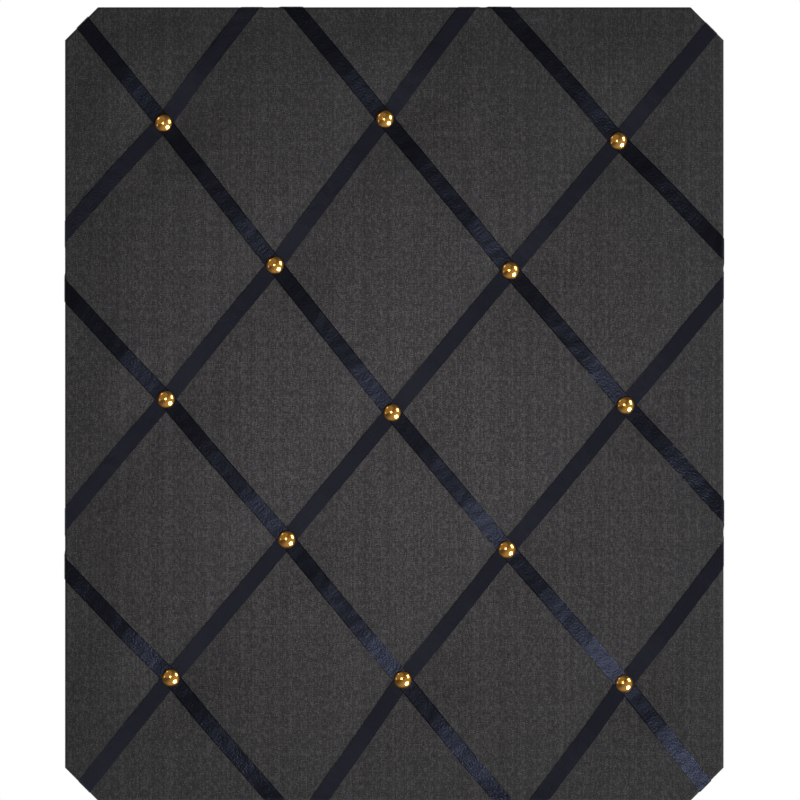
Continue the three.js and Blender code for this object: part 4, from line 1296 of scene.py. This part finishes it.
# %% Place the camera
PICTURE_WIDTH = 604.1 * MM
PICTURE_MIDDLE = (4.3 * MM, 3 * MM)
LENS = 100.0
SENSOR = 36.0
camera_data = bpy.data.cameras.new("camera")
camera_data.lens = LENS
camera_data.sensor_width = SENSOR
camera = bpy.data.objects.new("camera", camera_data)
camera.location = (PICTURE_MIDDLE[0], -LEVEL_AT_EDGE - PICTURE_WIDTH * LENS / SENSOR, PICTURE_MIDDLE[1])
camera.rotation_euler = (np.pi / 2, 0, 0)
bpy.context.scene.collection.objects.link(camera)
bpy.context.scene.camera = camera
print("camera stands", round(-camera.location.y, 3), "m in front")

# %% [markdown]
# ## Floor and backdrop
# The board hangs over a plain pale floor that fades into white with distance. The backdrop is the
# world: white where the camera looks, and behind the board also where metal mirrors it. In front the
# room is dim to the upper left and lighter to the lower right, because black satin and gold show
# whatever the room holds. The floor takes the board's shadow but neither mirrors nor shades, since some
# lamps shine from below its level.

# %% Make the floor
FLOOR_DROP = 1.9
FLOOR_REACH = 8.0
FLOOR_FADE = (1.5, 5.0)
FLOOR_SOCKETS = {"Base Color": (0.86, 0.86, 0.855, 1), "Roughness": 0.9}
LEVEL_ONLY = (1, 1, 0)


def make_floor():
    """A square plane below the board: diffuse near it, and white for the camera farther away."""
    steps = np.array([-FLOOR_REACH, FLOOR_REACH])
    x, y = np.meshgrid(steps, steps)
    points = np.stack([x, y, np.full(x.shape, -FLOOR_DROP)], axis=-1).reshape(-1, 3)
    floor = make_piece("studio_floor", points, grid_quads(*x.shape))
    finish, tree, shader = start_finish("pale_floor", FLOOR_SOCKETS)
    place = add_node(tree, "TexCoord").outputs["Object"]
    level = stretched(tree, place, LEVEL_ONLY)
    away = add_node(tree, "VectorMath", {0: level}, operation="LENGTH").outputs["Value"]
    fade = add_node(tree, "MapRange", {"Value": away, "From Min": FLOOR_FADE[0], "From Max": FLOOR_FADE[1]})
    seen = add_node(tree, "LightPath").outputs["Is Camera Ray"]
    share = maths(tree, "MULTIPLY", fade.outputs["Result"], seen)
    white = add_node(tree, "Emission")
    both = add_node(tree, "MixShader", {0: share, 1: shader.outputs["BSDF"], 2: white.outputs["Emission"]})
    tree.links.new(both.outputs["Shader"], tree.nodes["Material Output"].inputs["Surface"])
    floor.data.materials.append(finish)
    floor.visible_shadow = False
    floor.visible_glossy = False


make_floor()
print("floor lies", FLOOR_DROP, "m below the board's middle")

# %% Make the world
WHITE = (1, 1, 1, 1)
ROOM_DIM = 0.08
ROOM_LIT = 0.36
ROOM_BEHIND = 0.7
ROOM_TURN = (-0.77, 0.0, 0.64)
ROOM_SPAN = (-0.6, 0.4)
BEHIND_SPAN = (0.0, 0.3)


def make_world():
    """The room by direction: lit lower right, dim upper left, pale behind; white for the camera."""
    world = bpy.data.worlds.new("studio")
    world.use_nodes = True
    tree = world.node_tree
    path = add_node(tree, "LightPath")
    mirrored = maths(tree, "MAXIMUM", path.outputs["Is Glossy Ray"], path.outputs["Is Transmission Ray"])
    place = add_node(tree, "TexCoord").outputs["Generated"]
    way = add_node(tree, "SeparateXYZ", {0: place})
    side = add_node(tree, "VectorMath", {0: place, 1: ROOM_TURN}, operation="DOT_PRODUCT").outputs["Value"]
    turn = {"Value": side, "From Min": ROOM_SPAN[0], "From Max": ROOM_SPAN[1]}
    turn |= {"To Min": ROOM_LIT, "To Max": ROOM_DIM}
    ahead = add_node(tree, "MapRange", turn, interpolation_type="SMOOTHSTEP").outputs["Result"]
    back = {"Value": way.outputs["Y"], "From Min": BEHIND_SPAN[0], "From Max": BEHIND_SPAN[1]}
    behind = add_node(tree, "MapRange", back).outputs["Result"]
    room = maths(tree, "MAXIMUM", ahead, maths(tree, "MULTIPLY", behind, ROOM_BEHIND))
    white = maths(tree, "MAXIMUM", path.outputs["Is Camera Ray"], maths(tree, "MULTIPLY", mirrored, behind))
    strength = maths(tree, "MAXIMUM", white, room)
    background = tree.nodes["Background"]
    background.inputs["Color"].default_value = WHITE
    tree.links.new(strength, background.inputs["Strength"])
    bpy.context.scene.world = world


make_world()
print("room light, dim, lit and behind:", ROOM_DIM, ROOM_LIT, ROOM_BEHIND)

# %% [markdown]
# ## Lamps
# Satin and gold show what they mirror, so most lamps light gloss alone: a window low on the right, a
# smaller one higher up, two dim lamps on the left and a box in front. Two fills are left out of
# reflections and set the level of the cloth: one from the side, which shows the quilting, and one close
# in front, which fades towards the edges. Light linking gives a lamp to some pieces only. A pale card
# and a bright box show in the studs. A nearer window makes the falling ribbons' sheen, which grows down
# the board, and two wide soft ones the rising ribbons' sheen.

# %% List the lamps
LAMPS = {
    "high_window": ((1.55, -0.8, 0.72), (0.5, 0.9), 20.0, (0.87, 0.93, 1.0), "not_satin"),
    "left_lamp": ((-1.3, -0.36, -0.1), (0.25, 0.35), 0.25, (1.0, 0.9, 0.8), "gloss"),
    "left_high_lamp": ((-1.0, -0.25, 0.95), (0.25, 0.35), 0.4, (1.0, 0.9, 0.8), "gloss"),
    "front_box": ((-0.36, -1.8, 0.12), (0.28, 0.28), 0.9, (1.0, 0.97, 0.93), "not_falling"),
    "near_window": ((0.69, -1.2, -0.97), (0.86, 0.86), 20.0, (0.84, 0.91, 1.0), "falling"),
    "stud_box": ((-0.36, -1.8, 0.12), (0.44, 0.44), 10.0, (1.0, 0.99, 0.96), "studs"),
    "stud_card": ((-1.08, -1.29, 1.08), (3.2, 3.2), 5.0, (1.0, 0.99, 0.95), "studs"),
    "side_fill": ((1.2, -0.96, -1.26), (1.0, 1.0), 11.0, (1.0, 0.98, 0.98), "level"),
    "front_fill": ((0.01, -0.37, -0.03), (0.2, 0.2), 0.82, (1.0, 0.97, 0.98), "level"),
}
WINDOWS = {
    "low_window": ((1.2, -0.96, -1.26), 32, 5.2, (0.84, 0.91, 1.0), "not_satin"),
    "left_window": ((-0.94, -1.4, -1.06), 80, 1.05, (0.9, 0.92, 0.95), "rising"),
    "right_window": ((0.94, -1.4, 1.06), 80, 0.55, (0.9, 0.92, 0.95), "rising"),
}
print("lamps:", list(LAMPS), list(WINDOWS))


# %% Link lamps to pieces
def link_group(name, pieces, state="INCLUDE"):
    """A collection for light linking: a lamp that has it lights only these pieces, or all but these."""
    group = bpy.data.collections.new(name)
    for piece in pieces:
        group.objects.link(piece)
    for member in group.collection_objects:
        member.light_linking.link_state = state
    return group


falling = [strip for name, (strip, _) in strips.items() if "falling" in name]
rising = [strip for name, (strip, _) in strips.items() if "rising" in name]
links = {
    "studs": link_group("lit_studs", dome_studs.values()),
    "falling": link_group("lit_falling", falling),
    "rising": link_group("lit_rising", rising),
    "not_falling": link_group("unlit_falling", falling, "EXCLUDE"),
    "not_satin": link_group("unlit_satin", falling + rising, "EXCLUDE"),
}

# %% Place the lamps
AIM = np.array([0.0, -0.02, 0.0])


def place_lamp(data, place, power, colour, use):
    """A lamp whose -Z axis points at the board, for the cloth's level, for gloss or for one group."""
    data.energy = power
    data.color = colour
    lamp = bpy.data.objects.new(data.name, data)
    lamp.location = place
    lamp.visible_camera = False
    lamp.visible_diffuse = use == "level"
    lamp.visible_glossy = use != "level"
    lamp.light_linking.receiver_collection = links.get(use)
    lamp.rotation_euler = Vector(AIM - place).to_track_quat("-Z", "Y").to_euler()
    bpy.context.scene.collection.objects.link(lamp)


for name, (place, size, power, colour, use) in LAMPS.items():
    panel = bpy.data.lights.new(name, "AREA")
    panel.shape = "RECTANGLE"
    panel.size, panel.size_y = size
    place_lamp(panel, np.array(place), power, colour, use)
for name, (place, width, power, colour, use) in WINDOWS.items():
    window = bpy.data.lights.new(name, "SUN")
    window.angle = np.radians(width)
    place_lamp(window, np.array(place), power, colour, use)
bpy.context.scene.view_settings.view_transform = "Standard"
print("lamps placed:", len(LAMPS) + len(WINDOWS))
